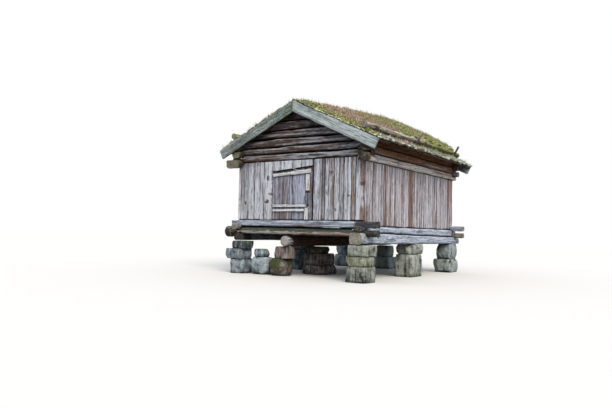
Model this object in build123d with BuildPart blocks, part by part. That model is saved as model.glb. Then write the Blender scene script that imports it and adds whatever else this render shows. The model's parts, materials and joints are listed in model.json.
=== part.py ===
# Storehouse of logs and upright planks, raised on dry stone piers under a turf roof.
# X runs left to right along the front gable, Y from front to back, Z up from the ground.
# The origin lies on the ground, under the middle of the hut. All sizes are in millimetres.
import os
from math import cos, radians, sin, tan

from build123d import *

os.makedirs("parts", exist_ok=True)

# Plan of the hut, over the outer faces of its plank walls
hut_width = 4000
hut_depth = 5960

# Fits between pieces that rest on each other
seat_gap = 0.3
swing_gap = 8

# Walls of upright planks between the sills and the logs above
plank_thickness = 60
front_wall_height = 1575
post_width = 140
post_depth = 120

# Logs of the walls: how wide, and how far their faces stand out from the planks
wall_log_width = 230
front_log_proud = 50
side_log_proud = 60
log_rounding = 45

# Stone piers and the beams that lie on them from front to back
pier_height = 900
base_beam_width = 360
base_beam_front_height = 300
base_beam_rear_height = 215
base_beam_proud = 140
base_beam_rounding = 70
base_beam_reach = 300
left_beam_setback = 290
middle_beam_radius = 150
middle_beam_x = -280
middle_beam_reach = 110

# Sill logs over the base beams
corner_lap = 120
lower_sill_height = 220
upper_sill_height = 180
side_sill_height = 160
sill_reach = 400
upper_sill_left_reach = 210
side_sill_reach = 210
butt_radius = 168
butt_length = 200

# Logs over the plank walls, lowest first
side_plate_drop = 95
side_course_heights = (210, 210, 193)
gable_course_heights = (200, 190, 215, 220, 230, 440)
gable_course_tapers = (12, -10, 16, -14, 10, 0)
gable_log_reach = 230
plate_end_gap = 10
plate_shoulder = 10

# Roof
roof_pitch = 25
eave_overhang = 540
gable_overhang = 250
deck_thickness = 40
turf_eave_thickness = 330
turf_ridge_thickness = 430
turf_crest_y = 1800
turf_front_thickness = 80
turf_rear_thickness = 400
eave_moss_thickness = 80
verge_width = 270
verge_thickness = 40
verge_rise = 60
verge_end_overhang = 520
ridge_radius = 105
purlin_radius = 90
purlin_along = 1150
turf_log_radius = 95
turf_log_x = 2060
turf_log_joint = 60
turf_log_setback = 90
peg_radius = 22
peg_clearance = 3
peg_height = 345
short_peg_height = 215
peg_end_distance = 560

# Floor
floor_thickness = 40
joist_width = 140
joist_count = 5
joist_pitch = 1100
joist_housing = 40

# Doorway in the front wall, and its door
doorway_left = -800
doorway_right = 505
left_post_width = 280
right_post_width = 290
door_post_depth = 110
door_post_proud = 10
door_thickness = 40
door_setback = 5
door_plank_seams = (-542, -139, 273)
head_board_thickness = 40
head_board_proud = 14
head_board_seams = (-538, -129, 147)
batten_thickness = 38
batten_end_inset = 30
strip_thickness = 26
lock_slot_height = 26
keyhole_width = 56
keyhole_height = 46
stile_radius = 30
stile_pin_radius = 18
stile_pin_length = 36
stile_pin_clearance = 0.6

# Heights over the upper sill, at the left and right edge of the doorway, of what slopes across the door
head_board_foot = (1310, 1420)
door_leaf_top = (1272, 1385)
top_batten_foot = (1150, 1222)
top_batten_top = (1240, 1340)

# The door's level battens: right end's distance from the doorway's right edge, foot and top over the upper sill
level_battens = ((175, 345, 420), (234, 225, 298))

# Its upright strips: how far they stand from the doorway's right edge, foot and top over the upper sill
strips = ((75, 205, 760, 1206), (105, 232, 5, 336))
lock_slot_z = 730
keyhole_z = 400

# Unhewn ends of the two lowest side logs in front of the gable. Each has its inner and outer edge from the
# outer face of the side logs, and its foot and top from the underside of the lowest side log.
plate_ends = {
    "left": ((-240, 260, -55, 200), (-255, 40, 216, 420)),
    "right": ((-75, 175, -30, 180), (-65, 170, 206, 415)),
}

# Values that follow from those above
front_face = -hut_depth / 2
rear_face = hut_depth / 2
side_face = hut_width / 2
pitch_sin = sin(radians(roof_pitch))
pitch_cos = cos(radians(roof_pitch))
pitch_tan = tan(radians(roof_pitch))

front_log_outer = front_face - front_log_proud
front_log_inner = front_log_outer + wall_log_width
side_log_outer = side_face + side_log_proud
side_log_inner = side_log_outer - wall_log_width
base_beam_outer = side_face + base_beam_proud
base_beam_inner = base_beam_outer - base_beam_width

beam_run = (front_face - base_beam_reach, rear_face + base_beam_reach)
base_top_front = pier_height + base_beam_front_height
base_top_rear = pier_height + base_beam_rear_height
lower_sill_bottom = base_top_front - corner_lap
lower_sill_top = lower_sill_bottom + lower_sill_height
upper_sill_top = lower_sill_top + upper_sill_height
side_sill_top = base_top_front + side_sill_height
lintel_bottom = upper_sill_top + front_wall_height
plate_bottom = lintel_bottom - side_plate_drop
plate_top = plate_bottom + sum(side_course_heights)
deck_apex = plate_top + side_log_outer * pitch_tan

verge_front = front_face - gable_overhang
verge_back = verge_front + verge_thickness
roof_half_length = -verge_back - seat_gap
plate_end = -verge_back - plate_end_gap

floor_bottom = base_top_front
floor_top = floor_bottom + floor_thickness

stile_x = doorway_left + swing_gap + stile_radius
stile_y = front_face + door_setback + door_thickness + seat_gap + stile_radius
stile_pin_bore = stile_pin_radius + stile_pin_clearance
stile_bore_depth = stile_pin_length - swing_gap + 3


def save(shape, name):
    """Labels a finished piece and writes it to its own file."""
    shape.label = name
    export_step(shape, f"parts/{name}.step")
    print(f"{name:24s} {len(shape.solids())} solids")


def between(x, y, z, mode=Mode.ADD):
    """A block between two limits on each axis, in the part that is being built."""
    with Locations(((x[0] + x[1]) / 2, (y[0] + y[1]) / 2, (z[0] + z[1]) / 2)):
        Box(abs(x[1] - x[0]), abs(y[1] - y[0]), abs(z[1] - z[0]), mode=mode)


def log_along_x(run, across, low, high, rounding, cuts=()):
    """A hewn log from run[0] to run[1]. low and high give its height limits at those two ends."""
    with BuildPart() as log:
        for place, bottom, top in zip(run, low, high):
            with BuildSketch(Plane.YZ.offset(place)):
                with Locations(((across[0] + across[1]) / 2, (bottom + top) / 2)):
                    RectangleRounded(across[1] - across[0], top - bottom, rounding)
        loft()
        for x, y, z in cuts:
            between(x, y, z, mode=Mode.SUBTRACT)
    return log.part


def log_along_y(run, across, low, high, rounding, cuts=()):
    """A hewn log that runs from front to back, made as log_along_x makes one."""
    with BuildPart() as log:
        for place, bottom, top in zip(run, low, high):
            with BuildSketch(Plane.XZ.offset(-place)):
                with Locations(((across[0] + across[1]) / 2, (bottom + top) / 2)):
                    RectangleRounded(across[1] - across[0], top - bottom, rounding)
        loft()
        for x, y, z in cuts:
            between(x, y, z, mode=Mode.SUBTRACT)
    return log.part


def mirrored(limits):
    """The same stretch on the other side of zero, with its lower limit first."""
    return (-limits[1], -limits[0])


def widened(limits, by=seat_gap):
    """A stretch made longer by a clearance at both ends."""
    return (limits[0] - by, limits[1] + by)


def seat(lower_top, upper_bottom):
    """The height at which two crossing logs meet, each notched by half of what they share."""
    return (lower_top + upper_bottom) / 2


# Where the front and rear logs cross those of the sides, in plan
front_band = (front_log_outer, front_log_inner)
rear_band = mirrored(front_band)
right_band = (side_log_inner, side_log_outer)
left_band = mirrored(right_band)
right_beam_band = (base_beam_inner, base_beam_outer)
left_beam_band = mirrored(right_beam_band)
far_below = 0
far_above = 6000
whole_x = (-hut_width, hut_width)
whole_y = (-hut_depth, hut_depth)

# Heights at which the logs of the four corners are seated on each other
lower_sill_seat_front = seat(base_top_front, lower_sill_bottom)
lower_sill_seat_rear = seat(base_top_rear, lower_sill_bottom)
side_sill_seat_front = seat(lower_sill_top, base_top_front)
side_sill_seat_rear = seat(lower_sill_top, base_top_rear)
upper_sill_seat = seat(side_sill_top, lower_sill_top)


def stone(plan, heights, bulge, turn, corner):
    """A rough block: a middle course swells out between a foot and a smaller bed on top."""
    width, depth = plan[1][0] - plan[0][0], plan[1][1] - plan[0][1]
    middle = ((plan[0][0] + plan[1][0]) / 2, (plan[0][1] + plan[1][1]) / 2)
    sections = ((heights[0], -bulge, 0), ((heights[0] + heights[1]) / 2, 0, turn), (heights[1], -bulge, turn))
    with BuildPart() as block:
        for height, grown, angle in sections:
            with BuildSketch(Plane.XY.offset(height)):
                with Locations(Location((middle[0], middle[1], 0), (0, 0, angle))):
                    RectangleRounded(width + grown, depth + grown, corner)
        loft()
    return block.part


def pier(name, stones):
    """A dry stack of stones, each given as its plan corners, foot, bed, bulge, turn and corner radius."""
    with BuildPart() as stack:
        for low_corner, high_corner, foot, bed, bulge, turn, corner in stones:
            add(stone((low_corner, high_corner), (foot, bed - seat_gap), bulge, turn, corner))
    save(stack.part, name)


# Stone piers. The courses of each one end at the underside of the beam that it carries.
middle_pier_height = lower_sill_bottom - 2 * middle_beam_radius
front_pier_y = front_face - base_beam_reach + 40
front_course_1, front_course_2 = 380, 640
right_pier_x = base_beam_inner - 75

pier("pier_front_right", (
    ((right_pier_x - 60, front_pier_y - 10), (right_pier_x + 530, front_pier_y + 610), 0, front_course_1, 40, 3, 70),
    ((right_pier_x - 50, front_pier_y + 10), (right_pier_x + 500, front_pier_y + 590),
     front_course_1, front_course_2, 36, -4, 55),
    ((right_pier_x + 10, front_pier_y - 20), (right_pier_x + 570, front_pier_y + 560),
     front_course_2, pier_height, 30, 2, 45),
))
left_pier_x = -base_beam_outer
pier("pier_front_left", (
    ((left_pier_x - 60, front_pier_y + 60), (left_pier_x + 490, front_pier_y + 700), 0, 405, 90, 6, 130),
    ((left_pier_x - 100, front_pier_y + 40), (left_pier_x + 490, front_pier_y + 560), 405, 685, 34, -3, 50),
    ((left_pier_x + 100, front_pier_y + 70), (left_pier_x + 600, front_pier_y + 520), 685, pier_height, 36, 4, 55),
))
boulder_bed = middle_pier_height - 310
boulder_joint = middle_beam_x - 610
pier("pier_front_middle", (
    ((boulder_joint, front_face - 90), (boulder_joint + 620, front_face + 500), 0, boulder_bed, 130, 0, 190),
    ((middle_beam_x - 400, front_face - 40), (middle_beam_x + 90, front_face + 380),
     boulder_bed, middle_pier_height, 30, 5, 45),
))
pier("boulder_front", (
    ((boulder_joint - 690, front_face - 60), (boulder_joint - seat_gap, front_face + 480), 0, boulder_bed, 190, 0, 165),
    ((boulder_joint - 590, front_face + 60), (boulder_joint - 190, front_face + 400),
     boulder_bed, 690, 60, -10, 80),
))
side_pier_bed = 620
for side_name, sign in (("right", 1), ("left", -1)):
    edge_a, edge_b = sign * (base_beam_inner - 200), sign * (base_beam_outer + 30)
    low_x, high_x = min(edge_a, edge_b), max(edge_a, edge_b)
    pier(f"pier_side_{side_name}", (
        ((low_x, -500), (high_x, 350), 0, side_pier_bed, 60, 3 * sign, 110),
        ((low_x + 50, -430), (high_x - 30, 450), side_pier_bed, pier_height, 90, -4 * sign, 90),
    ))
    pier(f"pier_rear_{side_name}", (
        ((low_x - 20, rear_face - 560), (high_x - 10, rear_face + 190), 0, 420, 60, -4 * sign, 90),
        ((low_x + 40, rear_face - 520), (high_x - 40, rear_face + 250), 420, pier_height, 70, 5 * sign, 80),
    ))
pier("pier_centre", (
    ((middle_beam_x - 320, -1850), (middle_beam_x + 420, -1000), 0, 260, 60, 4, 80),
    ((middle_beam_x - 260, -1800), (middle_beam_x + 380, -1080), 260, 590, 40, -3, 60),
    ((middle_beam_x - 240, -1780), (middle_beam_x + 250, -1150), 590, middle_pier_height, 40, 5, 60),
))
pier("pier_rear_middle", (
    ((middle_beam_x - 320, rear_face - 620), (middle_beam_x + 330, rear_face + 60), 0, 400, 60, -5, 90),
    ((middle_beam_x - 260, rear_face - 560), (middle_beam_x + 250, rear_face), 400, middle_pier_height, 50, 4, 70),
))


def beam_top(y):
    """Height of the base beams' tops, which fall towards the back."""
    along = (y - beam_run[0]) / (beam_run[1] - beam_run[0])
    return base_top_front + along * (base_top_rear - base_top_front)


# Joists: where each one's end is housed in a base beam
joist_places = [(number - (joist_count - 1) / 2) * joist_pitch for number in range(joist_count)]
joist_low, joist_high = lower_sill_bottom, floor_bottom


def joist_pockets(sign):
    """Pockets for the joists' ends in the beam on one side."""
    limits = sorted((sign * (base_beam_inner - 20), sign * (base_beam_inner + joist_housing + seat_gap)))
    return [(tuple(limits), widened((y - joist_width / 2, y + joist_width / 2)), widened((joist_low, joist_high)))
            for y in joist_places]


# Base beams, which lie on the piers from front to back, and the sill logs over them
for side_name, sign in (("right", 1), ("left", -1)):
    beam_band = right_beam_band if sign > 0 else left_beam_band
    sill_band = right_band if sign > 0 else left_band
    beam_cuts = joist_pockets(sign) + [
        (whole_x, widened(front_band), (lower_sill_seat_front, far_above)),
        (whole_x, widened(rear_band), (lower_sill_seat_rear, far_above)),
    ]
    # The left beam's front end stays behind the face of the sill that lies on it
    beam_ends = (beam_run[0] + (left_beam_setback if sign < 0 else 0), beam_run[1])
    beam = log_along_y(beam_ends, beam_band, (pier_height, pier_height),
                       [beam_top(y) for y in beam_ends], base_beam_rounding, beam_cuts)
    save(beam, f"base_beam_{side_name}")

    sill_cuts = joist_pockets(sign) + [
        (whole_x, widened(front_band), (far_below, side_sill_seat_front)),
        (whole_x, widened(rear_band), (far_below, side_sill_seat_rear)),
        (whole_x, widened(front_band), (upper_sill_seat, far_above)),
        (whole_x, widened(rear_band), (upper_sill_seat, far_above)),
    ]
    sill_run = (front_face - side_sill_reach, rear_face + side_sill_reach)
    sill = log_along_y(sill_run, sill_band, [beam_top(y) + seat_gap for y in sill_run],
                       (side_sill_top, side_sill_top), log_rounding, sill_cuts)
    save(sill, f"side_sill_{side_name}")

with BuildPart() as middle_beam:
    middle_beam_end = front_face - middle_beam_reach
    with BuildSketch(Plane.XZ.offset(-middle_beam_end)):
        with Locations((middle_beam_x, middle_pier_height + middle_beam_radius)):
            Circle(middle_beam_radius - seat_gap)
    extrude(amount=2 * middle_beam_end)
save(middle_beam.part, "base_beam_middle")

# Sill logs across the front and the back, notched over the logs of the sides
for end_name, sign in (("front", 1), ("rear", -1)):
    band = front_band if sign > 0 else rear_band
    base_seat = lower_sill_seat_front if sign > 0 else lower_sill_seat_rear
    sill_seat = side_sill_seat_front if sign > 0 else side_sill_seat_rear
    butt_x = -side_face - sill_reach
    with BuildPart() as lower_sill:
        add(log_along_x((butt_x, side_face + sill_reach), band, (lower_sill_bottom, lower_sill_bottom),
                        (lower_sill_top, lower_sill_top - 30), log_rounding))
        # The unhewn butt end is thicker than the hewn run between the corners
        with BuildSketch(Plane.YZ.offset(butt_x)):
            with Locations(((band[0] + band[1]) / 2, lower_sill_top - butt_radius + 20)):
                Circle(butt_radius)
        extrude(amount=butt_length)
        for beam_band, sill_band in ((right_beam_band, right_band), (left_beam_band, left_band)):
            between(widened(beam_band), whole_y, (far_below, base_seat + seat_gap), mode=Mode.SUBTRACT)
            between(widened(sill_band), whole_y, (sill_seat - seat_gap, far_above), mode=Mode.SUBTRACT)
    save(lower_sill.part, f"{end_name}_sill_lower")

    upper_cuts = [(widened(right_band), whole_y, (far_below, upper_sill_seat + seat_gap)),
                  (widened(left_band), whole_y, (far_below, upper_sill_seat + seat_gap)),
                  ((butt_x - 50, butt_x + butt_length + seat_gap), whole_y, (far_below, far_above))]
    upper_sill = log_along_x((-side_face - upper_sill_left_reach, side_face + sill_reach), band,
                             (lower_sill_top + seat_gap, lower_sill_top + seat_gap),
                             (upper_sill_top + 20, upper_sill_top), log_rounding / 2, upper_cuts)
    with BuildPart() as hewn_sill:
        add(upper_sill)
        between(whole_x, whole_y, (upper_sill_top, far_above), mode=Mode.SUBTRACT)
        if end_name == "front":
            with Locations((stile_x, stile_y, upper_sill_top)):
                Cylinder(stile_pin_bore, 2 * stile_bore_depth, mode=Mode.SUBTRACT)
    save(hewn_sill.part, f"{end_name}_sill_upper")

# Floor on joists between the base beams
joist_end = base_beam_inner + joist_housing
with BuildPart() as joists:
    with Locations(*[(0, y, (joist_low + joist_high) / 2) for y in joist_places]):
        Box(2 * joist_end, joist_width, joist_high - joist_low - 2 * seat_gap)
save(joists.part, "floor_joists")

with BuildPart() as floor:
    between(widened((-side_log_inner, side_log_inner), -seat_gap), widened((front_log_inner, -front_log_inner), -seat_gap),
            (floor_bottom, floor_top))
save(floor.part, "floor")

# Corner posts, behind the planks
post_outer_x = side_face - plank_thickness - seat_gap
post_outer_y = front_face + plank_thickness + seat_gap
with BuildPart() as corner_posts:
    post_x = post_outer_x - post_width / 2
    post_y = -post_outer_y - post_depth / 2
    post_low, post_high = upper_sill_top + seat_gap, plate_bottom - seat_gap
    with Locations(*[(sx * post_x, sy * post_y, (post_low + post_high) / 2) for sx in (-1, 1) for sy in (-1, 1)]):
        Box(post_width, post_depth, post_high - post_low)
save(corner_posts.part, "corner_posts")

# Plank walls. The front and rear ones are cut back at their top corners, round the ends of the side logs.
left_post_outer = doorway_left - left_post_width
right_post_outer = doorway_right + right_post_width
gable_plank_band = (front_face, front_face + plank_thickness)


def gable_wall(x, y):
    """Upright planks between the upper sill and the lowest gable log."""
    with BuildPart() as wall:
        between(x, y, widened((upper_sill_top, lintel_bottom), -seat_gap))
        for band in (right_band, left_band):
            between(widened(band), whole_y, (plate_bottom - seat_gap, far_above), mode=Mode.SUBTRACT)
    return wall.part


save(gable_wall((-side_face, left_post_outer - seat_gap), gable_plank_band), "front_wall_left")
save(gable_wall((right_post_outer + seat_gap, side_face), gable_plank_band), "front_wall_right")
save(gable_wall((-side_face, side_face), mirrored(gable_plank_band)), "rear_wall")

# The side walls are cut back at their bottom corners, over the ends of the upper sills.
for side_name, sign in (("right", 1), ("left", -1)):
    plank_band = (side_face - plank_thickness, side_face)
    plank_band = plank_band if sign > 0 else mirrored(plank_band)
    with BuildPart() as side_wall:
        between(plank_band, widened((front_face + plank_thickness, rear_face - plank_thickness), -seat_gap),
                widened((side_sill_top, plate_bottom), -seat_gap))
        for band in (front_band, rear_band):
            between(whole_x, widened(band), (far_below, upper_sill_top + seat_gap), mode=Mode.SUBTRACT)
    save(side_wall.part, f"{side_name}_wall")

with BuildPart() as door_posts:
    door_post_band = (front_face - door_post_proud, front_face - door_post_proud + door_post_depth)
    for x in ((left_post_outer, doorway_left), (doorway_right, right_post_outer)):
        between(x, door_post_band, widened((upper_sill_top, lintel_bottom), -seat_gap))
save(door_posts.part, "door_posts")


def on_slope(along, above):
    """A point of the right roof slope's profile: along it from the ridge, and above the deck's underside."""
    return (along * pitch_cos + above * pitch_sin, deck_apex - along * pitch_sin + above * pitch_cos)


def slope_profile(above_low, above_high, along_end, along_start=None):
    """Corners of a layer of the right slope. With no start it is mitred at the ridge."""
    starts = [-above * pitch_tan + seat_gap if along_start is None else along_start
              for above in (above_low, above_high)]
    return [on_slope(starts[0], above_low), on_slope(along_end, above_low),
            on_slope(along_end, above_high), on_slope(starts[1], above_high)]


def slope_layer(corners, y, sign):
    """A layer of one slope between two places along the ridge. sign is 1 on the right and -1 on the left."""
    outline = [(sign * x, z) for x, z in corners]
    with BuildPart() as layer:
        with BuildSketch(Plane.XZ.offset(-y[1])):
            Polygon(*outline, align=None)
        extrude(amount=y[1] - y[0])
    return layer.part


def round_log(centre, radius, y):
    """A round log that runs from front to back."""
    with BuildPart() as log:
        with BuildSketch(Plane.XZ.offset(-y[1])):
            with Locations(centre):
                Circle(radius)
        extrude(amount=y[1] - y[0])
    return log.part


# Ridge beam and purlins, which carry the deck boards and are let into the gable logs
ridge_centre = (0, deck_apex - (ridge_radius + seat_gap) / pitch_cos)
purlin_centre = on_slope(purlin_along, -purlin_radius - seat_gap)
save(round_log(ridge_centre, ridge_radius, (-plate_end, plate_end)), "ridge_beam")
with BuildPart() as purlins:
    for sign in (1, -1):
        add(round_log((sign * purlin_centre[0], purlin_centre[1]), purlin_radius, (-plate_end, plate_end)))
save(purlins.part, "purlins")

# Heights of the courses over the plank walls
plate_levels = [plate_bottom + sum(side_course_heights[:n]) for n in range(len(side_course_heights) + 1)]
gable_levels = [lintel_bottom + sum(gable_course_heights[:n]) for n in range(len(gable_course_heights) + 1)]
crossing_seats = [seat(plate_levels[n + 1], gable_levels[n]) for n in range(3)]
rising_seats = [seat(gable_levels[n + 1], plate_levels[n + 1]) for n in range(2)]
roof_line = [(0, deck_apex - seat_gap), (hut_width, deck_apex - seat_gap - hut_width * pitch_tan)]


def roof_void(length):
    """What lies above the deck's underside, to cut logs to the slope of the roof."""
    with BuildPart() as void:
        with BuildSketch(Plane.XZ.offset(-length / 2)):
            Polygon((-roof_line[1][0], roof_line[1][1]), roof_line[0], roof_line[1],
                    (roof_line[1][0], far_above), (-roof_line[1][0], far_above), align=None)
        extrude(amount=length)
    return void.part


above_roof = roof_void(2 * hut_depth)

for side_name, sign in (("right", 1), ("left", -1)):
    band = right_band if sign > 0 else left_band
    with BuildPart() as plates:
        for number in range(3):
            low, high = plate_levels[number], plate_levels[number + 1]
            if number == 2:
                high += wall_log_width * pitch_tan
            front_end = -plate_end if number == 2 else front_log_outer - plate_shoulder
            cuts = []
            for crossed in (front_band, rear_band):
                cuts.append((whole_x, widened(crossed), (crossing_seats[number], far_above)))
                if number:
                    cuts.append((whole_x, widened(crossed), (far_below, rising_seats[number - 1])))
            add(log_along_y((front_end, plate_end), band, (low + seat_gap, low + seat_gap),
                            (high, high), log_rounding, cuts))
        add(above_roof, mode=Mode.SUBTRACT)
        # In front of the gable the two lowest logs keep their thick unhewn ends
        for inner, outer, foot, top in plate_ends[side_name]:
            end_x = sign * (side_log_outer + (inner + outer) / 2)
            with BuildSketch(Plane.XZ.offset(plate_end)):
                with Locations((end_x, plate_bottom + (foot + top) / 2)):
                    RectangleRounded(outer - inner, top - foot, (top - foot) * 0.3)
            extrude(amount=-(plate_end + front_log_outer - seat_gap))
    save(plates.part, f"{side_name}_plate_logs")

# Gable logs. The two lowest run out past the side walls and the others end at the roof.
for end_name, sign in (("front", 1), ("rear", -1)):
    band = front_band if sign > 0 else rear_band
    courses = []
    for number in range(len(gable_course_heights)):
        taper_low = gable_course_tapers[number - 1] if number else 0
        taper_high = gable_course_tapers[number]
        low, high = gable_levels[number] + seat_gap, gable_levels[number + 1]
        cuts = []
        for crossed in (right_band, left_band):
            if number < 3:
                cuts.append((widened(crossed), whole_y, (far_below, crossing_seats[number] + seat_gap)))
            if number < 2:
                cuts.append((widened(crossed), whole_y, (rising_seats[number] - seat_gap, far_above)))
        reach = side_face + gable_log_reach
        with BuildPart() as course:
            add(log_along_x((-reach, reach), band, (low + taper_low, low - taper_low),
                            (high + taper_high, high - taper_high), log_rounding, cuts))
            add(above_roof, mode=Mode.SUBTRACT)
            with BuildSketch(Plane.XZ.offset(-hut_depth)):
                with Locations(ridge_centre):
                    Circle(ridge_radius + seat_gap)
                with Locations(purlin_centre, (-purlin_centre[0], purlin_centre[1])):
                    Circle(purlin_radius + seat_gap)
            extrude(amount=2 * hut_depth, mode=Mode.SUBTRACT)
        courses.append(course.part)
    with BuildPart() as lintel:
        add(courses[0])
        if end_name == "front":
            with Locations((stile_x, stile_y, lintel_bottom)):
                Cylinder(stile_pin_bore, 2 * stile_bore_depth, mode=Mode.SUBTRACT)
    save(lintel.part, f"{end_name}_lintel_log")
    with BuildPart() as gable:
        for course_part in courses[1:]:
            add(course_part)
    save(gable.part, f"{end_name}_gable_logs")

# Deck boards, turf and verge boards of both slopes
eave_along = (side_face + eave_overhang - deck_thickness * pitch_sin) / pitch_cos
turf_log_above = deck_thickness + eave_moss_thickness + turf_log_radius
turf_log_along = (turf_log_x - turf_log_above * pitch_sin) / pitch_cos
turf_log_centre = on_slope(turf_log_along, turf_log_above + seat_gap)
verge_along = (side_face + verge_end_overhang - verge_rise * pitch_sin) / pitch_cos
roof_run = (-roof_half_length, roof_half_length)
peg_along = turf_log_along + turf_log_radius + peg_radius + 2 * seat_gap
pegs = {sign: [(-roof_half_length + peg_end_distance, short_peg_height), (-turf_log_joint / 2 - 240, peg_height),
               (turf_log_joint / 2 + 240, short_peg_height), (roof_half_length - peg_end_distance, peg_height)]
        for sign in (1, -1)}


def peg(y, length, sign, radius):
    """A round peg that stands square to the slope, outside the log that it holds."""
    foot = on_slope(peg_along, deck_thickness + seat_gap)
    with BuildPart() as round_peg:
        with BuildSketch(Plane(origin=(sign * foot[0], y, foot[1]), x_dir=(0, 1, 0),
                               z_dir=(sign * pitch_sin, 0, pitch_cos))):
            Circle(radius)
        extrude(amount=length)
    return round_peg.part


for side_name, sign in (("right", 1), ("left", -1)):
    deck = slope_layer(slope_profile(0, deck_thickness, eave_along), roof_run, sign)
    save(deck, f"roof_boards_{side_name}")
    turf_low = deck_thickness + seat_gap
    turf_end = turf_log_along - turf_log_radius - seat_gap
    turf_top = deck_thickness + turf_ridge_thickness
    turf_corners = [on_slope(seat_gap - turf_low * pitch_tan, turf_low), on_slope(turf_end, turf_low),
                    on_slope(turf_end, deck_thickness + turf_eave_thickness),
                    on_slope(turf_end * 0.55, (turf_top + deck_thickness + turf_eave_thickness) / 2 + 30),
                    on_slope(seat_gap - turf_top * pitch_tan, turf_top)]
    with BuildPart() as turf:
        add(slope_layer(turf_corners, roof_run, sign))
        # The mound falls from its crest towards both gables
        for end, end_thickness in ((-roof_half_length, turf_front_thickness), (roof_half_length, turf_rear_thickness)):
            fall = (turf_ridge_thickness - end_thickness) / (turf_crest_y - end)
            start = on_slope(0, deck_thickness + end_thickness)
            split(bisect_by=Plane(origin=(sign * start[0], end, start[1]), z_dir=(sign * pitch_sin, -fall, pitch_cos)),
                  keep=Keep.BOTTOM)
        # A layer of moss runs on under the log to the eave
        add(slope_layer(slope_profile(turf_low, deck_thickness + eave_moss_thickness, eave_along, turf_end),
                        roof_run, sign))
        for peg_y, peg_length in pegs[sign]:
            add(peg(peg_y, peg_length, sign, peg_radius + peg_clearance), mode=Mode.SUBTRACT)
    save(turf.part, f"turf_{side_name}")

    # Two lengths of log lie along the eave and hold the turf back
    front_end = -roof_half_length if sign < 0 else -roof_half_length + turf_log_setback
    centre = (sign * turf_log_centre[0], turf_log_centre[1])
    with BuildPart() as turf_log:
        add(round_log(centre, turf_log_radius, (front_end, -turf_log_joint / 2)))
        add(round_log(centre, turf_log_radius, (turf_log_joint / 2, roof_half_length)))
    save(turf_log.part, f"turf_log_{side_name}")

with BuildPart() as turf_pegs:
    for sign, places in pegs.items():
        for peg_y, peg_length in places:
            add(peg(peg_y, peg_length, sign, peg_radius))
save(turf_pegs.part, "turf_pegs")

for end_name, sign in (("front", 1), ("rear", -1)):
    y = (verge_front, verge_back) if sign > 0 else (-verge_back, -verge_front)
    with BuildPart() as verge:
        for slope_sign in (1, -1):
            add(slope_layer(slope_profile(verge_rise - verge_width, verge_rise, verge_along), y, slope_sign))
    save(verge.part, f"verge_boards_{end_name}")

# Short boards over the door, nailed to the lintel log, with a foot that slopes up to the right
head_edges = (doorway_left + seat_gap, *head_board_seams, doorway_right - seat_gap)


def across_doorway(x, heights):
    """Height at a place across the doorway of a line given by its heights at the two edges, over the sill."""
    along = (x - doorway_left) / (doorway_right - doorway_left)
    return upper_sill_top + heights[0] + along * (heights[1] - heights[0])


def front_board(x, feet, tops, front, thickness):
    """An upright board between two places, with the heights of its foot and top at each of them."""
    with BuildPart() as board:
        with BuildSketch(Plane.XZ.offset(-front)):
            Polygon((x[0], feet[0]), (x[1], feet[1]), (x[1], tops[1]), (x[0], tops[0]), align=None)
        extrude(amount=-thickness)
    return board.part


with BuildPart() as head_boards:
    for left, right in zip(head_edges, head_edges[1:]):
        board_x = (left, right - seat_gap)
        add(front_board(board_x, [across_doorway(x, head_board_foot) for x in board_x],
                        (lintel_bottom - seat_gap, lintel_bottom - seat_gap),
                        front_face - head_board_proud, head_board_thickness))
save(head_boards.part, "door_head_boards")

# Door of upright planks on a round stile, whose pins turn in the sill and in the lintel log
door_front = front_face + door_setback
door_x = (doorway_left + swing_gap, doorway_right - swing_gap)
door_foot = upper_sill_top + swing_gap
stile_z = (door_foot, lintel_bottom - swing_gap)
plank_edges = (door_x[0], *door_plank_seams, door_x[1])
lock_x = (doorway_right - strips[0][1], doorway_right - strips[0][0])
keyhole_x = (lock_x[0] + lock_x[1]) / 2
with BuildPart() as door_leaf:
    for left, right in zip(plank_edges, plank_edges[1:]):
        board_x = (left, right - seat_gap)
        add(front_board(board_x, (door_foot, door_foot), [across_doorway(x, door_leaf_top) for x in board_x],
                        door_front, door_thickness))
    between(lock_x, whole_y, (upper_sill_top + lock_slot_z - lock_slot_height / 2,
                              upper_sill_top + lock_slot_z + lock_slot_height / 2), mode=Mode.SUBTRACT)
    between((keyhole_x - keyhole_width / 2, keyhole_x + keyhole_width / 2), whole_y,
            (upper_sill_top + keyhole_z - keyhole_height / 2, upper_sill_top + keyhole_z + keyhole_height / 2),
            mode=Mode.SUBTRACT)
save(door_leaf.part, "door_leaf")

batten_front = door_front - seat_gap - batten_thickness
strip_front = door_front - seat_gap - strip_thickness
batten_left = door_x[0] + batten_end_inset
with BuildPart() as door_battens:
    top_batten_x = (batten_left, door_x[1] - batten_end_inset)
    add(front_board(top_batten_x, [across_doorway(x, top_batten_foot) for x in top_batten_x],
                    [across_doorway(x, top_batten_top) for x in top_batten_x], batten_front, batten_thickness))
    for end_distance, foot, top in level_battens:
        between((batten_left, doorway_right - end_distance), (batten_front, door_front - seat_gap),
                (upper_sill_top + foot, upper_sill_top + top))
    for near, far, foot, top in strips:
        between((doorway_right - far, doorway_right - near), (strip_front, door_front - seat_gap),
                (door_foot + foot, upper_sill_top + top))
save(door_battens.part, "door_battens")

with BuildPart() as door_stile:
    with BuildSketch(Plane.XY.offset(stile_z[0])):
        with Locations((stile_x, stile_y)):
            Circle(stile_radius)
    extrude(amount=stile_z[1] - stile_z[0])
    with BuildSketch(Plane.XY.offset(stile_z[0] - stile_pin_length)):
        with Locations((stile_x, stile_y)):
            Circle(stile_pin_radius)
    extrude(amount=stile_z[1] - stile_z[0] + 2 * stile_pin_length)
save(door_stile.part, "door_stile")
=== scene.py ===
"""An old log storehouse on dry stone piers, modelled and dressed over its CAD frame."""

import json
import logging
import math
import random
from collections.abc import Callable, Iterator, Sequence
from contextlib import contextmanager
from dataclasses import dataclass
from enum import Enum

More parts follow.
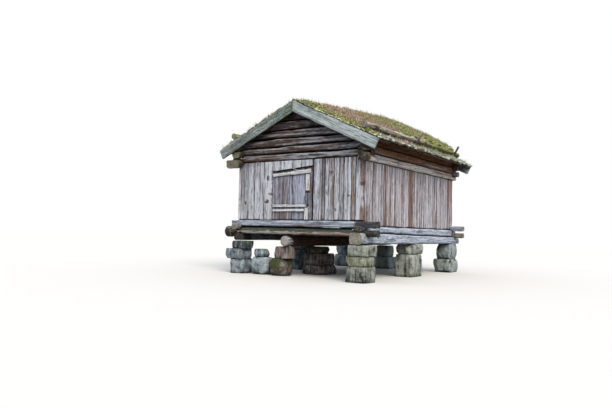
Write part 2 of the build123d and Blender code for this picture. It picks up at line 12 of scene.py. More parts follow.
import bmesh
import bpy
import numpy as np
from mathutils import Matrix, Vector

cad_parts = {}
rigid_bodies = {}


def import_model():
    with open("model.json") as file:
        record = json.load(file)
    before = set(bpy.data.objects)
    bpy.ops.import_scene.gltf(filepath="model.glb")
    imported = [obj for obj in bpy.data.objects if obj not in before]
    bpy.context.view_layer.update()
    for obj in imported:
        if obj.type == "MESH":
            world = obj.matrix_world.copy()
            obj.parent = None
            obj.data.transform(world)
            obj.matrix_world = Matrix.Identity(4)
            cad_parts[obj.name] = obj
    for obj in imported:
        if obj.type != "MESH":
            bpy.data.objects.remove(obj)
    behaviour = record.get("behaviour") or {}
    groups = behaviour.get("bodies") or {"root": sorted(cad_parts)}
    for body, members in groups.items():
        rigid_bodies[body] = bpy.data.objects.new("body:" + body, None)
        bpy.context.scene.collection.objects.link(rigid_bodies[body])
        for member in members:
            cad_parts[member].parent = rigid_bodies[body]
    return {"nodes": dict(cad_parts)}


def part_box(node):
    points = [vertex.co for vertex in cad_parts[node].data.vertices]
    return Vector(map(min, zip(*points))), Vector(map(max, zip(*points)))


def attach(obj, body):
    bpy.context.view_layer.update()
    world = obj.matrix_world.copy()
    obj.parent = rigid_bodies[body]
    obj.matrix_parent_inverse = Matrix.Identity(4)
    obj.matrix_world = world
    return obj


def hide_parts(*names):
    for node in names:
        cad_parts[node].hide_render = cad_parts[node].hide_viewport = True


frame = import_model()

LOG = logging.getLogger("storehouse")
Triple = tuple[float, float, float]

# Vertices of the frame's meshes that lie closer than this are one, in metres
WELD = 0.00002
# How far the noise moves along each axis from one seed to the next, in metres
NOISE_STEP: Triple = (3.7, 5.1, 2.3)
# How far apart the grain of two members lies at the most, in metres
GRAIN_SPREAD = 40.0


class Axis(Enum):
    """The way that a timber's grain runs."""

    X = 0
    Y = 1
    Z = 2


@dataclass(frozen=True)
class Tone:
    """How one board, log or stone differs from its fellows, each value from 0 to 1."""

    light: float = 0.5
    warm: float = 0.3
    moss: float = 0.0


@dataclass(frozen=True)
class Board:
    """One board, given by its lowest and highest corner, in metres."""

    low: Triple
    high: Triple
    tone: Tone = Tone()

    @property
    def middle(self) -> Vector:
        """The board's centre."""
        return (Vector(self.low) + Vector(self.high)) / 2

    @property
    def extent(self) -> Vector:
        """The board's size along each axis."""
        return Vector(self.high) - Vector(self.low)


# Work on meshes


def only(*pieces: bpy.types.Object) -> None:
    """Selects these objects alone and makes the first one active.

    Args:
        pieces: The objects to select.
    """
    bpy.ops.object.select_all(action="DESELECT")
    for piece in pieces:
        piece.select_set(True)
    bpy.context.view_layer.objects.active = pieces[0]


@contextmanager
def editing(piece: bpy.types.Object) -> Iterator[None]:
    """Opens a piece in edit mode with all of it selected, and leaves it again.

    Args:
        piece: The mesh object to edit.
    """
    only(piece)
    bpy.ops.object.mode_set(mode="EDIT")
    bpy.ops.mesh.select_all(action="SELECT")
    try:
        yield
    finally:
        bpy.ops.object.mode_set(mode="OBJECT")


def link_object(name: str, data: bpy.types.ID | None) -> bpy.types.Object:
    """Makes an object and links it to the scene.

    Args:
        name: The new object's name.
        data: Its mesh, lamp or camera, or None for an empty.

    Returns:
        The linked object.
    """
    thing = bpy.data.objects.new(name, data)
    bpy.context.scene.collection.objects.link(thing)
    return thing


def blank(name: str) -> bpy.types.Object:
    """Makes a linked object with an empty mesh, which sits at the origin."""
    return link_object(name, bpy.data.meshes.new(name))


def select_edges(piece: bpy.types.Object, chosen: set[bmesh.types.BMEdge]) -> None:
    """Selects only the chosen edges of the mesh under edit.

    Args:
        piece: The object under edit.
        chosen: The edges to select.
    """
    bpy.ops.mesh.select_mode(type="EDGE")
    bpy.ops.mesh.select_all(action="DESELECT")
    for edge in chosen:
        edge.select_set(True)
    bmesh.update_edit_mesh(piece.data)


def apply_modifier(piece: bpy.types.Object, kind: str, **settings: object) -> None:
    """Adds a modifier with its settings and applies it.

    Args:
        piece: The object that gets it.
        kind: The modifier's type.
        settings: Its settings by name.
    """
    only(piece)
    modifier = piece.modifiers.new(kind.lower(), kind)
    for key, value in settings.items():
        setattr(modifier, key, value)
    bpy.ops.object.modifier_apply(modifier=modifier.name)


def roughen(
    piece: bpy.types.Object,
    wave: float,
    depth: float,
    way: str = "NORMAL",
    stretch: Triple = (1.0, 1.0, 1.0),
    middle: float = 0.5,
    seed: int = 0,
    group: str = "",
) -> None:
    """Moves a mesh by cloudy noise, as wear, growth or a rough cut leaves it.

    Args:
        piece: The object to roughen.
        wave: Length of the noise's waves, in metres.
        depth: Distance between its highest and lowest places, in metres.
        way: NORMAL, X, Y or Z.
        stretch: How much longer the waves are along each axis.
        middle: The noise level that stays in place. At 1 all movement is inwards.
        seed: Moves the noise to another place.
        group: A vertex group to keep to.
    """
    noise = bpy.data.textures.new("noise", "CLOUDS")
    noise.noise_scale = wave
    noise.noise_depth = 2
    guide = link_object("guide", None)
    guide.scale = stretch
    guide.location = [seed * step for step in NOISE_STEP]
    bpy.context.view_layer.update()
    apply_modifier(
        piece,
        "DISPLACE",
        texture=noise,
        texture_coords="OBJECT",
        texture_coords_object=guide,
        direction=way,
        strength=depth,
        mid_level=middle,
        vertex_group=group,
    )
    bpy.data.objects.remove(guide)
    bpy.data.textures.remove(noise)


def corners(piece: bpy.types.Object) -> np.ndarray:
    """Reads a mesh's vertex places.

    Args:
        piece: The mesh object.

    Returns:
        One row of three numbers for each vertex.
    """
    places = np.zeros(len(piece.data.vertices) * 3, np.float32)
    piece.data.vertices.foreach_get("co", places)
    return places.reshape(-1, 3)


def move_corners(piece: bpy.types.Object, places: np.ndarray) -> None:
    """Writes a mesh's vertex places.

    Args:
        piece: The mesh object.
        places: One row of three numbers for each vertex.
    """
    piece.data.vertices.foreach_set("co", places.astype(np.float32).ravel())
    piece.data.update()


def keep_within(piece: bpy.types.Object, low: Sequence[float], high: Sequence[float]) -> None:
    """Moves vertices that left a box back to its sides.

    Args:
        piece: The mesh object.
        low: The box's lowest corner.
        high: Its highest corner.
    """
    move_corners(piece, np.clip(corners(piece), np.array(low), np.array(high)))


def islands(piece: bpy.types.Object) -> np.ndarray:
    """Finds which vertices hang together.

    Args:
        piece: The mesh object.

    Returns:
        For each vertex, the number of its island.
    """
    edges = np.zeros(len(piece.data.edges) * 2, np.int32)
    piece.data.edges.foreach_get("vertices", edges)
    first, second = edges.reshape(-1, 2).T
    label = np.arange(len(piece.data.vertices))
    while True:
        low = np.minimum(label[first], label[second])
        found = label.copy()
        np.minimum.at(found, first, low)
        np.minimum.at(found, second, low)
        found = found[found]
        if np.array_equal(found, label):
            return np.unique(label, return_inverse=True)[1]
        label = found


def mark_members(
    piece: bpy.types.Object,
    grain: Axis,
    tone_at: Callable[[Vector], Tone],
    chance: random.Random,
    rim: float = 0.0,
) -> None:
    """Stores each member's grain direction, tone and edges for the materials.

    Args:
        piece: The object whose islands are its members.
        grain: The way that the members' grain runs.
        tone_at: Gives the tone of the member with its centre at a place.
        chance: The source of each member's own number.
        rim: Width of the strip along a board's two long edges that counts as its edge, in metres.
    """
    places = corners(piece)
    label = islands(piece)
    order = [(grain.value + 1) % 3, (grain.value + 2) % 3, grain.value]
    along = np.zeros_like(places)
    member = np.zeros((len(places), 4), np.float32)
    edge = np.zeros(len(places), np.float32)
    for number in range(int(label.max()) + 1):
        own = label == number
        low, high = places[own].min(0), places[own].max(0)
        middle = (low + high) / 2
        tone = tone_at(Vector(middle))
        seed = chance.random()
        turned = (places[own] - middle)[:, order]
        if rim:
            wide = int(np.argmax((high - low)[order[:2]]))
            edge[own] = np.abs(turned[:, wide]) > (high - low)[order[wide]] / 2 - rim
        turned[:, 2] += seed * GRAIN_SPREAD
        along[own] = turned
        member[own] = (seed, tone.light, tone.warm, tone.moss)
    for name, kind, key, values in (
        ("grain", "FLOAT_VECTOR", "vector", along),
        ("member", "FLOAT_COLOR", "color", member),
        ("edge", "FLOAT", "value", edge),
    ):
        piece.data.attributes.new(name, kind, "POINT").data.foreach_set(key, values.ravel())


def retone(piece: bpy.types.Object, change: Callable[[np.ndarray, np.ndarray], None]) -> None:
    """Changes the stored tones place by place: where rain or rot has reached, and where shade is painted.

    Args:
        piece: A piece whose members are marked.
        change: Gets the vertices' places and their tones, whose columns are seed, light, warm and moss.
    """
    stored = piece.data.attributes["member"].data
    member = np.zeros(len(stored) * 4, np.float32)
    stored.foreach_get("color", member)
    member = member.reshape(-1, 4)
    change(corners(piece), member)
    stored.foreach_set("color", member.ravel())


def lay_boards(
    name: str,
    boards: Sequence[Board],
    grain: Axis,
    chance: random.Random,
    cell: float = 0.045,
    edge: float = 0.006,
) -> bpy.types.Object:
    """Models boards as one object: boxes, cut up along and across, with worn edges.

    Args:
        name: The object's name.
        boards: The boards to make.
        grain: The way that their grain runs.
        chance: The source of each board's own number.
        cell: Length of the pieces that each board is cut into, in metres.
        edge: Width of the worn edges, in metres.

    Returns:
        The new object, with its members marked.
    """
    piece = blank(name)
    with editing(piece):
        for board in boards:
            bpy.ops.mesh.primitive_cube_add(size=1.0, location=board.middle, scale=board.extent)
        longest = max(board.extent[grain.value] for board in boards)
        extent = boards[0].extent
        wide = max((axis for axis in range(3) if axis != grain.value), key=lambda axis: extent[axis])
        for axis, cuts in ((grain.value, max(2, round(longest / cell))), (wide, 3)):
            mesh = bmesh.from_edit_mesh(piece.data)
            ways = ((e, (e.verts[0].co - e.verts[1].co).normalized()) for e in mesh.edges)
            select_edges(piece, {e for e, way in ways if abs(way[axis]) > 0.9})
            bpy.ops.mesh.subdivide(number_cuts=cuts)
        mesh = bmesh.from_edit_mesh(piece.data)
        mesh.normal_update()
        select_edges(piece, {e for e in mesh.edges if e.calc_face_angle(0.0) > 1.0})
        bpy.ops.mesh.bevel(offset=edge, segments=2, affect="EDGES")
    middles = [board.middle for board in boards]

    def nearest(place: Vector) -> Tone:
        """Finds the tone of the board at a place.

        Args:
            place: A member's centre.

        Returns:
            The tone of the board whose centre is nearest.
        """
        return min(zip(middles, boards), key=lambda pair: (pair[0] - place).length)[1].tone

    mark_members(piece, grain, nearest, chance, rim=edge * 1.5)
    return piece


def free_copy(node: str, name: str) -> bpy.types.Object:
    """Copies a CAD node as a free mesh with its loose triangles merged.

    Args:
        node: The CAD node's name.
        name: The copy's name.

    Returns:
        The copy, which rides on nothing yet.
    """
    copy = link_object(name, frame["nodes"][node].data.copy())
    copy.data.name = name
    copy.data.materials.clear()
    with editing(copy):
        bpy.ops.mesh.remove_doubles(threshold=WELD)
    return copy


def loose_parts(piece: bpy.types.Object) -> list[bpy.types.Object]:
    """Splits an object into its separate solids.

    Args:
        piece: The object to split.

    Returns:
        One object for each solid.
    """
    before = set(bpy.data.objects)
    with editing(piece):
        bpy.ops.mesh.separate(type="LOOSE")
    return [piece] + [o for o in bpy.data.objects if o not in before]


def join(pieces: Sequence[bpy.types.Object], name: str) -> bpy.types.Object:
    """Joins objects into one.

    Args:
        pieces: The objects to join.
        name: The joined object's name.

    Returns:
        The joined object.
    """
    only(*pieces)
    if len(pieces) > 1:
        bpy.ops.object.join()
    pieces[0].name = name
    pieces[0].data.name = name
    return pieces[0]


def hew(
    node: str,
    grain: Axis,
    chance: random.Random,
    tone_at: Callable[[Vector], Tone],
    voxel: float = 0.026,
    wander: float = 0.014,
    dents: float = 0.012,
    keep: float = 0.45,
) -> bpy.types.Object:
    """Turns a node's plain logs into weathered ones, with their notches and seats kept.

    Args:
        node: The CAD node whose solids are the logs.
        grain: The way that the logs lie.
        chance: The source of each log's own numbers.
        tone_at: Gives the tone of the log with its centre at a place.
        voxel: Size of the mesh's cells, in metres.
        wander: How far a log's faces wander over its length, in metres.
        dents: Depth of the dents and ridges that the axe and the weather left, in metres.
        keep: The share of the fine mesh's triangles that stays.

    Returns:
        One object that holds the logs, with its members marked.
    """
    logs = loose_parts(free_copy(node, f"{node}_hewn"))
    for log in logs:
        apply_modifier(log, "REMESH", mode="VOXEL", voxel_size=voxel, adaptivity=0.0)
        seed = chance.randrange(1, 400)
        long_waves = [4.0 if axis == grain.value else 1.0 for axis in range(3)]
        roughen(log, 0.22, wander * 2, stretch=tuple(long_waves), middle=0.85, seed=seed)
        long_dents = [7.0 if axis == grain.value else 1.0 for axis in range(3)]
        roughen(log, 0.045, dents, stretch=tuple(long_dents), middle=0.8, seed=seed + 1)
        thin_out(log, keep)
    piece = join(logs, f"{node}_hewn")
    mark_members(piece, grain, tone_at, chance)
    return piece


def thin_out(piece: bpy.types.Object, keep: float) -> None:
    """Takes out the triangles that a rough mesh can spare.

    Args:
        piece: The piece.
        keep: The share of its triangles that stays.
    """
    apply_modifier(piece, "DECIMATE", decimate_type="COLLAPSE", ratio=keep)


def split_ends(piece: bpy.types.Object, grain: Axis) -> None:
    """Gives the faces that cut across the grain the piece's second material.

    Args:
        piece: An object with two material slots.
        grain: The way that its grain runs.
    """
    normals = np.zeros(len(piece.data.polygons) * 3, np.float32)
    piece.data.polygons.foreach_get("normal", normals)
    across = np.abs(normals.reshape(-1, 3)[:, grain.value]) > 0.6
    piece.data.polygons.foreach_set("material_index", across.astype(np.int32))


def tuft_shape(blades: int, height: float, spread: float, chance: random.Random) -> bpy.types.Object:
    """Models one tuft of thin blades, to be planted in many copies.

    Args:
        blades: How many blades it has.
        height: Height of the tallest, in metres.
        spread: Width of the tuft at its foot, in metres.
        chance: The source of its shape.

    Returns:
        The tuft, with its foot at the origin.
    """
    piece = blank("tuft")
    with editing(piece):
        for number in range(blades):
            tall = height * chance.uniform(0.5, 1.0)
            way = number * 2.4 + chance.uniform(0.0, 1.0)
            lean = chance.uniform(0.1, 0.75)
            out_x, out_y = math.cos(way), math.sin(way)
            foot = Vector((out_x, out_y, 0.0)) * spread * chance.uniform(0.1, 0.5)
            blade = Vector((out_x * math.sin(lean), out_y * math.sin(lean), math.cos(lean)))
            bpy.ops.mesh.primitive_cone_add(
                vertices=3,
                radius1=height * 0.11,
                radius2=0.0,
                depth=tall,
                location=foot + blade * tall / 2,
                rotation=(0.0, lean, way),
            )
    return piece


def cushion_shape(radius: float, flatness: float, seed: int) -> bpy.types.Object:
    """Models one uneven cushion of moss, to be planted in many copies.

    Args:
        radius: Its radius, in metres.
        flatness: Its height as a share of its width.
        seed: Makes its shape its own.

    Returns:
        The cushion, with its middle at the origin.
    """
    piece = blank("cushion")
    with editing(piece):
        bpy.ops.mesh.primitive_ico_sphere_add(subdivisions=2, radius=radius, scale=(1.0, 1.0, flatness))
    roughen(piece, radius * 0.7, radius * 0.9, middle=0.6, seed=seed)
    thin_out(piece, 0.4)
    return piece


def plant(
    host: bpy.types.Object,
    tuft: bpy.types.Object,
    name: str,
    per_area: float,
    growth: Callable[[np.ndarray, np.ndarray], np.ndarray],
    tilt: tuple[Triple, Triple],
    sizes: tuple[float, float],
    seed: int,
) -> bpy.types.Object:
    """Plants copies of a tuft over a mesh and makes them one real mesh.

    Args:
        host: The piece that they grow on, which stays as it is.
        tuft: The tuft to copy.
        name: The new piece's name.
        per_area: How many grow on a square metre.
        growth: Gets the host's vertices and normals and gives the share of the tufts that grow there.
        tilt: The least and the greatest turn about each axis, in radians.
        sizes: The smallest and the largest scale.
        seed: Picks the places.

    Returns:
        The planted piece.
    """
    piece = link_object(name, host.data.copy())
    piece.data.name = name
    normals = np.zeros(len(piece.data.vertices) * 3, np.float32)
    piece.data.vertices.foreach_get("normal", normals)
    share = growth(corners(piece), normals.reshape(-1, 3))
    stored = piece.data.attributes.new("growth", "FLOAT", "POINT").data
    stored.foreach_set("value", share.astype(np.float32))
    g = Graph(bpy.data.node_groups.new("planting", "GeometryNodeTree"))
    for way in ("INPUT", "OUTPUT"):
        g.tree.interface.new_socket("Geometry", in_out=way, socket_type="NodeSocketGeometry")
    wanted = g.add("GeometryNodeInputNamedAttribute", {"data_type": "FLOAT"}, "growth")
    density = g.add("ShaderNodeMath", MULTIPLY, wanted, per_area)
    ground = g.add("NodeGroupInput")
    points = g.add("GeometryNodeDistributePointsOnFaces", None, ground, Density=density, Seed=seed)
    turn = g.add("FunctionNodeRandomValue", {"data_type": "FLOAT_VECTOR"}, *tilt, None, seed)
    size = g.add("FunctionNodeRandomValue", {"data_type": "FLOAT"}, *sizes, None, seed + 1)
    shape = g.add("GeometryNodeObjectInfo", None, Object=tuft).outputs["Geometry"]
    copies = g.add(
        "GeometryNodeInstanceOnPoints",
        None,
        Points=points.outputs["Points"],
        Instance=shape,
        Rotation=turn,
        Scale=size,
    )
    g.add("NodeGroupOutput", None, g.add("GeometryNodeRealizeInstances", None, copies))
    apply_modifier(piece, "NODES", node_group=g.tree)
    piece.data.materials.clear()
    return piece


def finish_piece(
    piece: bpy.types.Object,
    body: str,
    nodes: Sequence[str],
    finishes: Sequence[bpy.types.Material],
    smooth: float = 50.0,
) -> None:
    """Dresses a piece, ties it to its body and hides the nodes that it stands for.

    Args:
        piece: The finished mesh object.
        body: The CAD body that it rides on.
        nodes: The CAD nodes that it replaces.
        finishes: Its materials.
        smooth: The angle up to which faces are shaded as one, in degrees.
    """
    for finish in finishes:
        piece.data.materials.append(finish)
    only(piece)
    bpy.ops.object.shade_smooth_by_angle(angle=math.radians(smooth))
    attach(piece, body)
    if nodes:
        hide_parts(*nodes)
    LOG.info("%s: %d faces", piece.name, len(piece.data.polygons))


# Finishes

# Settings that many nodes share
MULTIPLY = {"operation": "MULTIPLY"}
MULTIPLY_ADD = {"operation": "MULTIPLY_ADD"}
BLEND = {"data_type": "RGBA"}
DARKEN = {"data_type": "RGBA", "blend_type": "MULTIPLY"}
SMOOTH = {"interpolation_type": "SMOOTHSTEP"}


def linear(shade: str) -> tuple[float, float, float, float]:
    """Turns an sRGB hex colour into the linear colour that shaders take.

    Args:
        shade: A colour such as #a1b2c3.

    Returns:
        Red, green, blue and alpha.
    """
    parts = [int(shade[i : i + 2], 16) / 255 for i in (1, 3, 5)]
    red, green, blue = (p / 12.92 if p <= 0.04045 else ((p + 0.055) / 1.055) ** 2.4 for p in parts)
    return red, green, blue, 1.0


class Graph:
    """The node tree of a material, a world or a geometry group."""

    def __init__(self, owner: bpy.types.ID) -> None:
        """Empties the tree.

        Args:
            owner: The new material, world or node group.
        """
        self.owner = owner
        self.tree = owner
        if not isinstance(owner, bpy.types.NodeTree):
            owner.use_nodes = True
            self.tree = owner.node_tree
        self.tree.nodes.clear()

    def add(
        self, kind: str, settings: dict[str, object] | None = None, *values: object, **named: object
    ) -> bpy.types.Node:
        """Adds a node with its settings and links.

        Args:
            kind: The node's type.
            settings: Its settings, and stops for a colour ramp.
            values: What its inputs get, in order. None leaves an input as it is.
            named: The same by the input's name, with _ for a space.

        Returns:
            The node.
        """
        node = self.tree.nodes.new(kind)
        for key, value in (settings or {}).items():
            if key == "stops":
                ramp = node.color_ramp
                while len(ramp.elements) < len(value):
                    ramp.elements.new(0.5)
                for element, (place, shade) in zip(ramp.elements, value):
                    element.position, element.color = place, linear(shade)
            else:
                setattr(node, key, value)
        live = [socket for socket in node.inputs if socket.enabled]
        pairs = list(zip(live, values))
        pairs += [(node.inputs[key.replace("_", " ")], value) for key, value in named.items()]
        for socket, value in pairs:
            if isinstance(value, bpy.types.Node):
                value = next(out for out in value.outputs if out.enabled)
            if isinstance(value, bpy.types.NodeSocket):
                self.tree.links.new(value, socket)
            elif value is not None:
                socket.default_value = value
        return node


@dataclass(frozen=True)
class WeatheredWood:
    """Softwood that stood unpainted for decades: silver fibres, brown streaks, checks and knots."""

    name: str
    pale: str
    middle: str
    dark: str
    stain: str
    moss: str = "#6b7a3a"
    streak_mm: float = 26.0
    knots: float = 1.0
    base_moss: float = 0.0
    relief_mm: float = 5.0
    spots: str = ""
    spot_share: float = 0.5
    stops: Triple = (0.64, 0.82, 1.0)
    # The share of the colour that the painted shade leaves in the deepest seams
    seam_shade: float = 0.22

    def material(self) -> bpy.types.Material:
        """Builds the finish. The grain's noise is stretched along each member's own length.

        Returns:
            The material.
        """
        g = Graph(bpy.data.materials.new(self.name))
        grain = g.add("ShaderNodeAttribute", {"attribute_name": "grain"}).outputs["Vector"]
        member = g.add("ShaderNodeAttribute", {"attribute_name": "member"})
        edge = g.add("ShaderNodeAttribute", {"attribute_name": "edge"}).outputs["Fac"]
        parts = g.add("ShaderNodeSeparateColor", None, member.outputs["Color"])
        light, warm, moss = parts.outputs["Green"], parts.outputs["Blue"], member.outputs["Alpha"]
        fibre = 1000.0 / self.streak_mm
        waver = g.add("ShaderNodeTexNoise", None, grain, 3.0, 2.0, 0.5)
        sway = (0.03, 0.03, 0.0)
        bent = g.add("ShaderNodeVectorMath", MULTIPLY_ADD, waver.outputs["Color"], sway, grain)
        # Each layer's scale across, scale along, offset, detail and roughness. Streaks are about a finger wide and
        # long as a forearm, bands as wide as a hand, fibres a few millimetres, worn patches and checks in between.
        layers = {
            "streak": (bent, fibre, 1.3, 0.0, 6.0, 0.62),
            "band": (bent, 11.0, 0.7, 0.0, 2.0, 0.5),
            "fine": (grain, 300.0, 9.0, 0.0, 3.0, 0.6),
            "worn": (bent, 19.0, 0.6, 7.0, 3.0, 0.55),
            "check": (bent, 34.0, 0.8, 3.0, 2.0, 0.5),
            "length": (bent, 11.0, 4.5, 5.0, 4.0, 0.7),
        }
        noise = {}
        for key, (source, wide, long, shift, detail, rough) in layers.items():
            scale, offset = (wide, wide, long), (shift, shift, shift)
            scaled = g.add("ShaderNodeVectorMath", MULTIPLY_ADD, source, scale, offset)
            noise[key] = g.add("ShaderNodeTexNoise", None, scaled, 1.0, detail, rough)
        tone = g.add("ShaderNodeMath", MULTIPLY_ADD, noise["streak"], 1.0, -0.49)
        for key, share in (("band", 0.6), ("fine", 0.25), ("length", 0.6)):
            tone = g.add("ShaderNodeMath", MULTIPLY_ADD, noise[key], share, tone)
        # What looks up is lighter and what looks down darker: partly bleaching, partly painted light from above
        up = g.add("ShaderNodeSeparateXYZ", None, g.add("ShaderNodeNewGeometry").outputs["Normal"]).outputs["Z"]
        tone = g.add("ShaderNodeMath", MULTIPLY_ADD, up, 0.22, tone)
        tone = g.add("ShaderNodeMath", MULTIPLY_ADD, light, 0.36, tone)
        shades = tuple(zip(self.stops, (self.dark, self.middle, self.pale)))
        grey = g.add("ShaderNodeValToRGB", {"stops": shades}, tone)
        # Brown where the silvered skin is worn off, most on the members marked warm
        worn_level = g.add("ShaderNodeMath", MULTIPLY_ADD, warm, 0.42, noise["worn"])
        worn_mask = g.add("ShaderNodeMapRange", SMOOTH, worn_level, 0.56, 0.78, 0.0, 0.9)
        shaded = g.add("ShaderNodeMix", DARKEN, 0.7, linear(self.stain), grey)
        stain = g.add("ShaderNodeMix", BLEND, 0.4, shaded, linear(self.stain))
        colour = g.add("ShaderNodeMix", BLEND, worn_mask, grey, stain)
        # Drying checks: thin dark lines along the fibres
        offset = g.add("ShaderNodeMath", {"operation": "SUBTRACT"}, noise["check"], 0.5)
        ridge = g.add("ShaderNodeMath", {"operation": "ABSOLUTE"}, offset)
        check_mask = g.add("ShaderNodeMapRange", None, ridge, 0.008, 0.03, 0.85, 0.0)
        colour = g.add("ShaderNodeMix", BLEND, check_mask, colour, linear("#2a2320"))
        # Knots: dark ovals, a hand apart across and an arm apart along
        spread = g.add("ShaderNodeVectorMath", MULTIPLY, bent, (7.0, 7.0, 2.6))
        knot = g.add("ShaderNodeTexVoronoi", None, spread, None, 1.0)
        strength = 0.95 * self.knots
        knot_mask = g.add("ShaderNodeMapRange", SMOOTH, knot, 0.12, 0.23, strength, 0.0)
        colour = g.add("ShaderNodeMix", BLEND, knot_mask, colour, linear("#302626"))
        place = g.add("ShaderNodeTexCoord").outputs["Object"]
        if self.spots:
            # Lichen: crusts from coin to hand size
            crust = g.add("ShaderNodeTexNoise", None, place, 22.0, 6.0, 0.75)
            level = 0.75 - 0.5 * self.spot_share
            full = level + 0.08
            crust_mask = g.add("ShaderNodeMapRange", SMOOTH, crust, level, full, 0.0, 0.85)
            colour = g.add("ShaderNodeMix", BLEND, crust_mask, colour, linear(self.spots))
        # Moss and algae on members marked mossy, thickest where a face looks up
        patch = g.add("ShaderNodeTexNoise", None, place, 7.0, 6.0, 0.68)
        moss_level = g.add("ShaderNodeMath", MULTIPLY_ADD, up, 0.16, patch)
        moss_level = g.add("ShaderNodeMath", MULTIPLY_ADD, moss, 0.5, moss_level)
        bare = 0.8 - self.base_moss
        full = bare + 0.18
        moss_mask = g.add("ShaderNodeMapRange", SMOOTH, moss_level, bare, full, 0.0, 0.92)
        tuft = g.add("ShaderNodeTexNoise", None, place, 90.0, 4.0, 0.7)
        clump = g.add("ShaderNodeMapRange", None, tuft, 0.35, 0.65, 0.3, 1.5)
        green = g.add("ShaderNodeMix", DARKEN, 1.0, linear(self.moss), clump)
        colour = g.add("ShaderNodeMix", BLEND, moss_mask, colour, green)
        # Painted shade in seams and notches, from occlusion, and darker strips along the boards' edges where they
        # meet
        hollow = g.add("ShaderNodeAmbientOcclusion", {"samples": 4}, None, 0.07)
        hollow_level = g.add("ShaderNodeMapRange", None, hollow.outputs["AO"], 0.3, 0.85, self.seam_shade, 1.0)
        patchy = g.add("ShaderNodeMapRange", None, noise["length"], 0.4, 0.6, 0.3, 1.0)
        edge_level = g.add("ShaderNodeMath", MULTIPLY, patchy, edge)
        edge_shade = g.add("ShaderNodeMapRange", None, edge_level, 0.4, 1.0, 1.0, 0.3)
        dirt_and_painted_shade = g.add("ShaderNodeMath", MULTIPLY, hollow_level, edge_shade)
        colour = g.add("ShaderNodeMix", DARKEN, 1.0, colour, dirt_and_painted_shade)
        # Relief: fibres and checks stand a few millimetres out of the surface
        height = g.add("ShaderNodeMath", MULTIPLY_ADD, check_mask, -1.2, noise["streak"])
        height = g.add("ShaderNodeMath", MULTIPLY_ADD, noise["fine"], 0.5, height)
        soft = g.add("ShaderNodeMath", MULTIPLY, moss_mask, tuft)
        height = g.add("ShaderNodeMath", MULTIPLY_ADD, soft, 1.6, height)
        bump = g.add("ShaderNodeBump", None, Strength=0.9, Distance=self.relief_mm / 1000, Height=height)
        rough = g.add("ShaderNodeMapRange", None, noise["streak"], 0.3, 0.7, 0.93, 0.76)
        shader = g.add(
            "ShaderNodeBsdfPrincipled", None, Base_Color=colour, Roughness=rough, Normal=bump, Specular_IOR_Level=0.28
        )
        g.add("ShaderNodeOutputMaterial", None, shader)
        return g.owner


@dataclass(frozen=True)
class EndGrain:
    """Sawn or hewn ends: growth rings and cracks that run out from the heart."""

    name: str
    pale: str
    dark: str
    moss: str = "#989a62"

    def material(self) -> bpy.types.Material:
        """Builds the finish.

        Returns:
            The material.
        """
        g = Graph(bpy.data.materials.new(self.name))
        grain = g.add("ShaderNodeAttribute", {"attribute_name": "grain"}).outputs["Vector"]
        flat = g.add("ShaderNodeVectorMath", MULTIPLY, grain, (1.0, 1.0, 0.02))
        # Rings about 6 mm apart, drawn wider than real ones so that they show
        ring = g.add("ShaderNodeTexWave", {"wave_type": "RINGS", "rings_direction": "Z"}, flat, 26.0, 3.0, 2.0, 1.5)
        dirt_and_painted_shade = g.add("ShaderNodeTexNoise", None, grain, 22.0, 5.0, 0.65)
        member = g.add("ShaderNodeAttribute", {"attribute_name": "member"})
        light = g.add("ShaderNodeSeparateColor", None, member.outputs["Color"]).outputs["Green"]
        mixed = g.add("ShaderNodeMath", MULTIPLY_ADD, ring, 0.3, dirt_and_painted_shade)
        shaded = g.add("ShaderNodeMath", MULTIPLY_ADD, light, 0.3, mixed)
        colour = g.add("ShaderNodeValToRGB", {"stops": ((0.55, self.dark), (1.0, self.pale))}, shaded)
        place = g.add("ShaderNodeTexCoord").outputs["Object"]
        patch = g.add("ShaderNodeTexNoise", None, place, 8.0, 6.0, 0.68)
        grown = g.add("ShaderNodeMath", MULTIPLY_ADD, member.outputs["Alpha"], 0.3, patch)
        mask = g.add("ShaderNodeMapRange", SMOOTH, grown, 0.66, 0.8, 0.0, 0.9)
        tuft = g.add("ShaderNodeTexNoise", None, place, 110.0, 4.0, 0.7)
        green = g.add("ShaderNodeMix", DARKEN, 0.7, linear(self.moss), tuft)
        colour = g.add("ShaderNodeMix", BLEND, mask, colour, green)
        bump = g.add("ShaderNodeBump", None, Strength=0.8, Distance=0.006, Height=mixed)
        shader = g.add(
            "ShaderNodeBsdfPrincipled", None, Base_Color=colour, Normal=bump, Roughness=0.9, Specular_IOR_Level=0.25
        )
        g.add("ShaderNodeOutputMaterial", None, shader)
        return g.owner


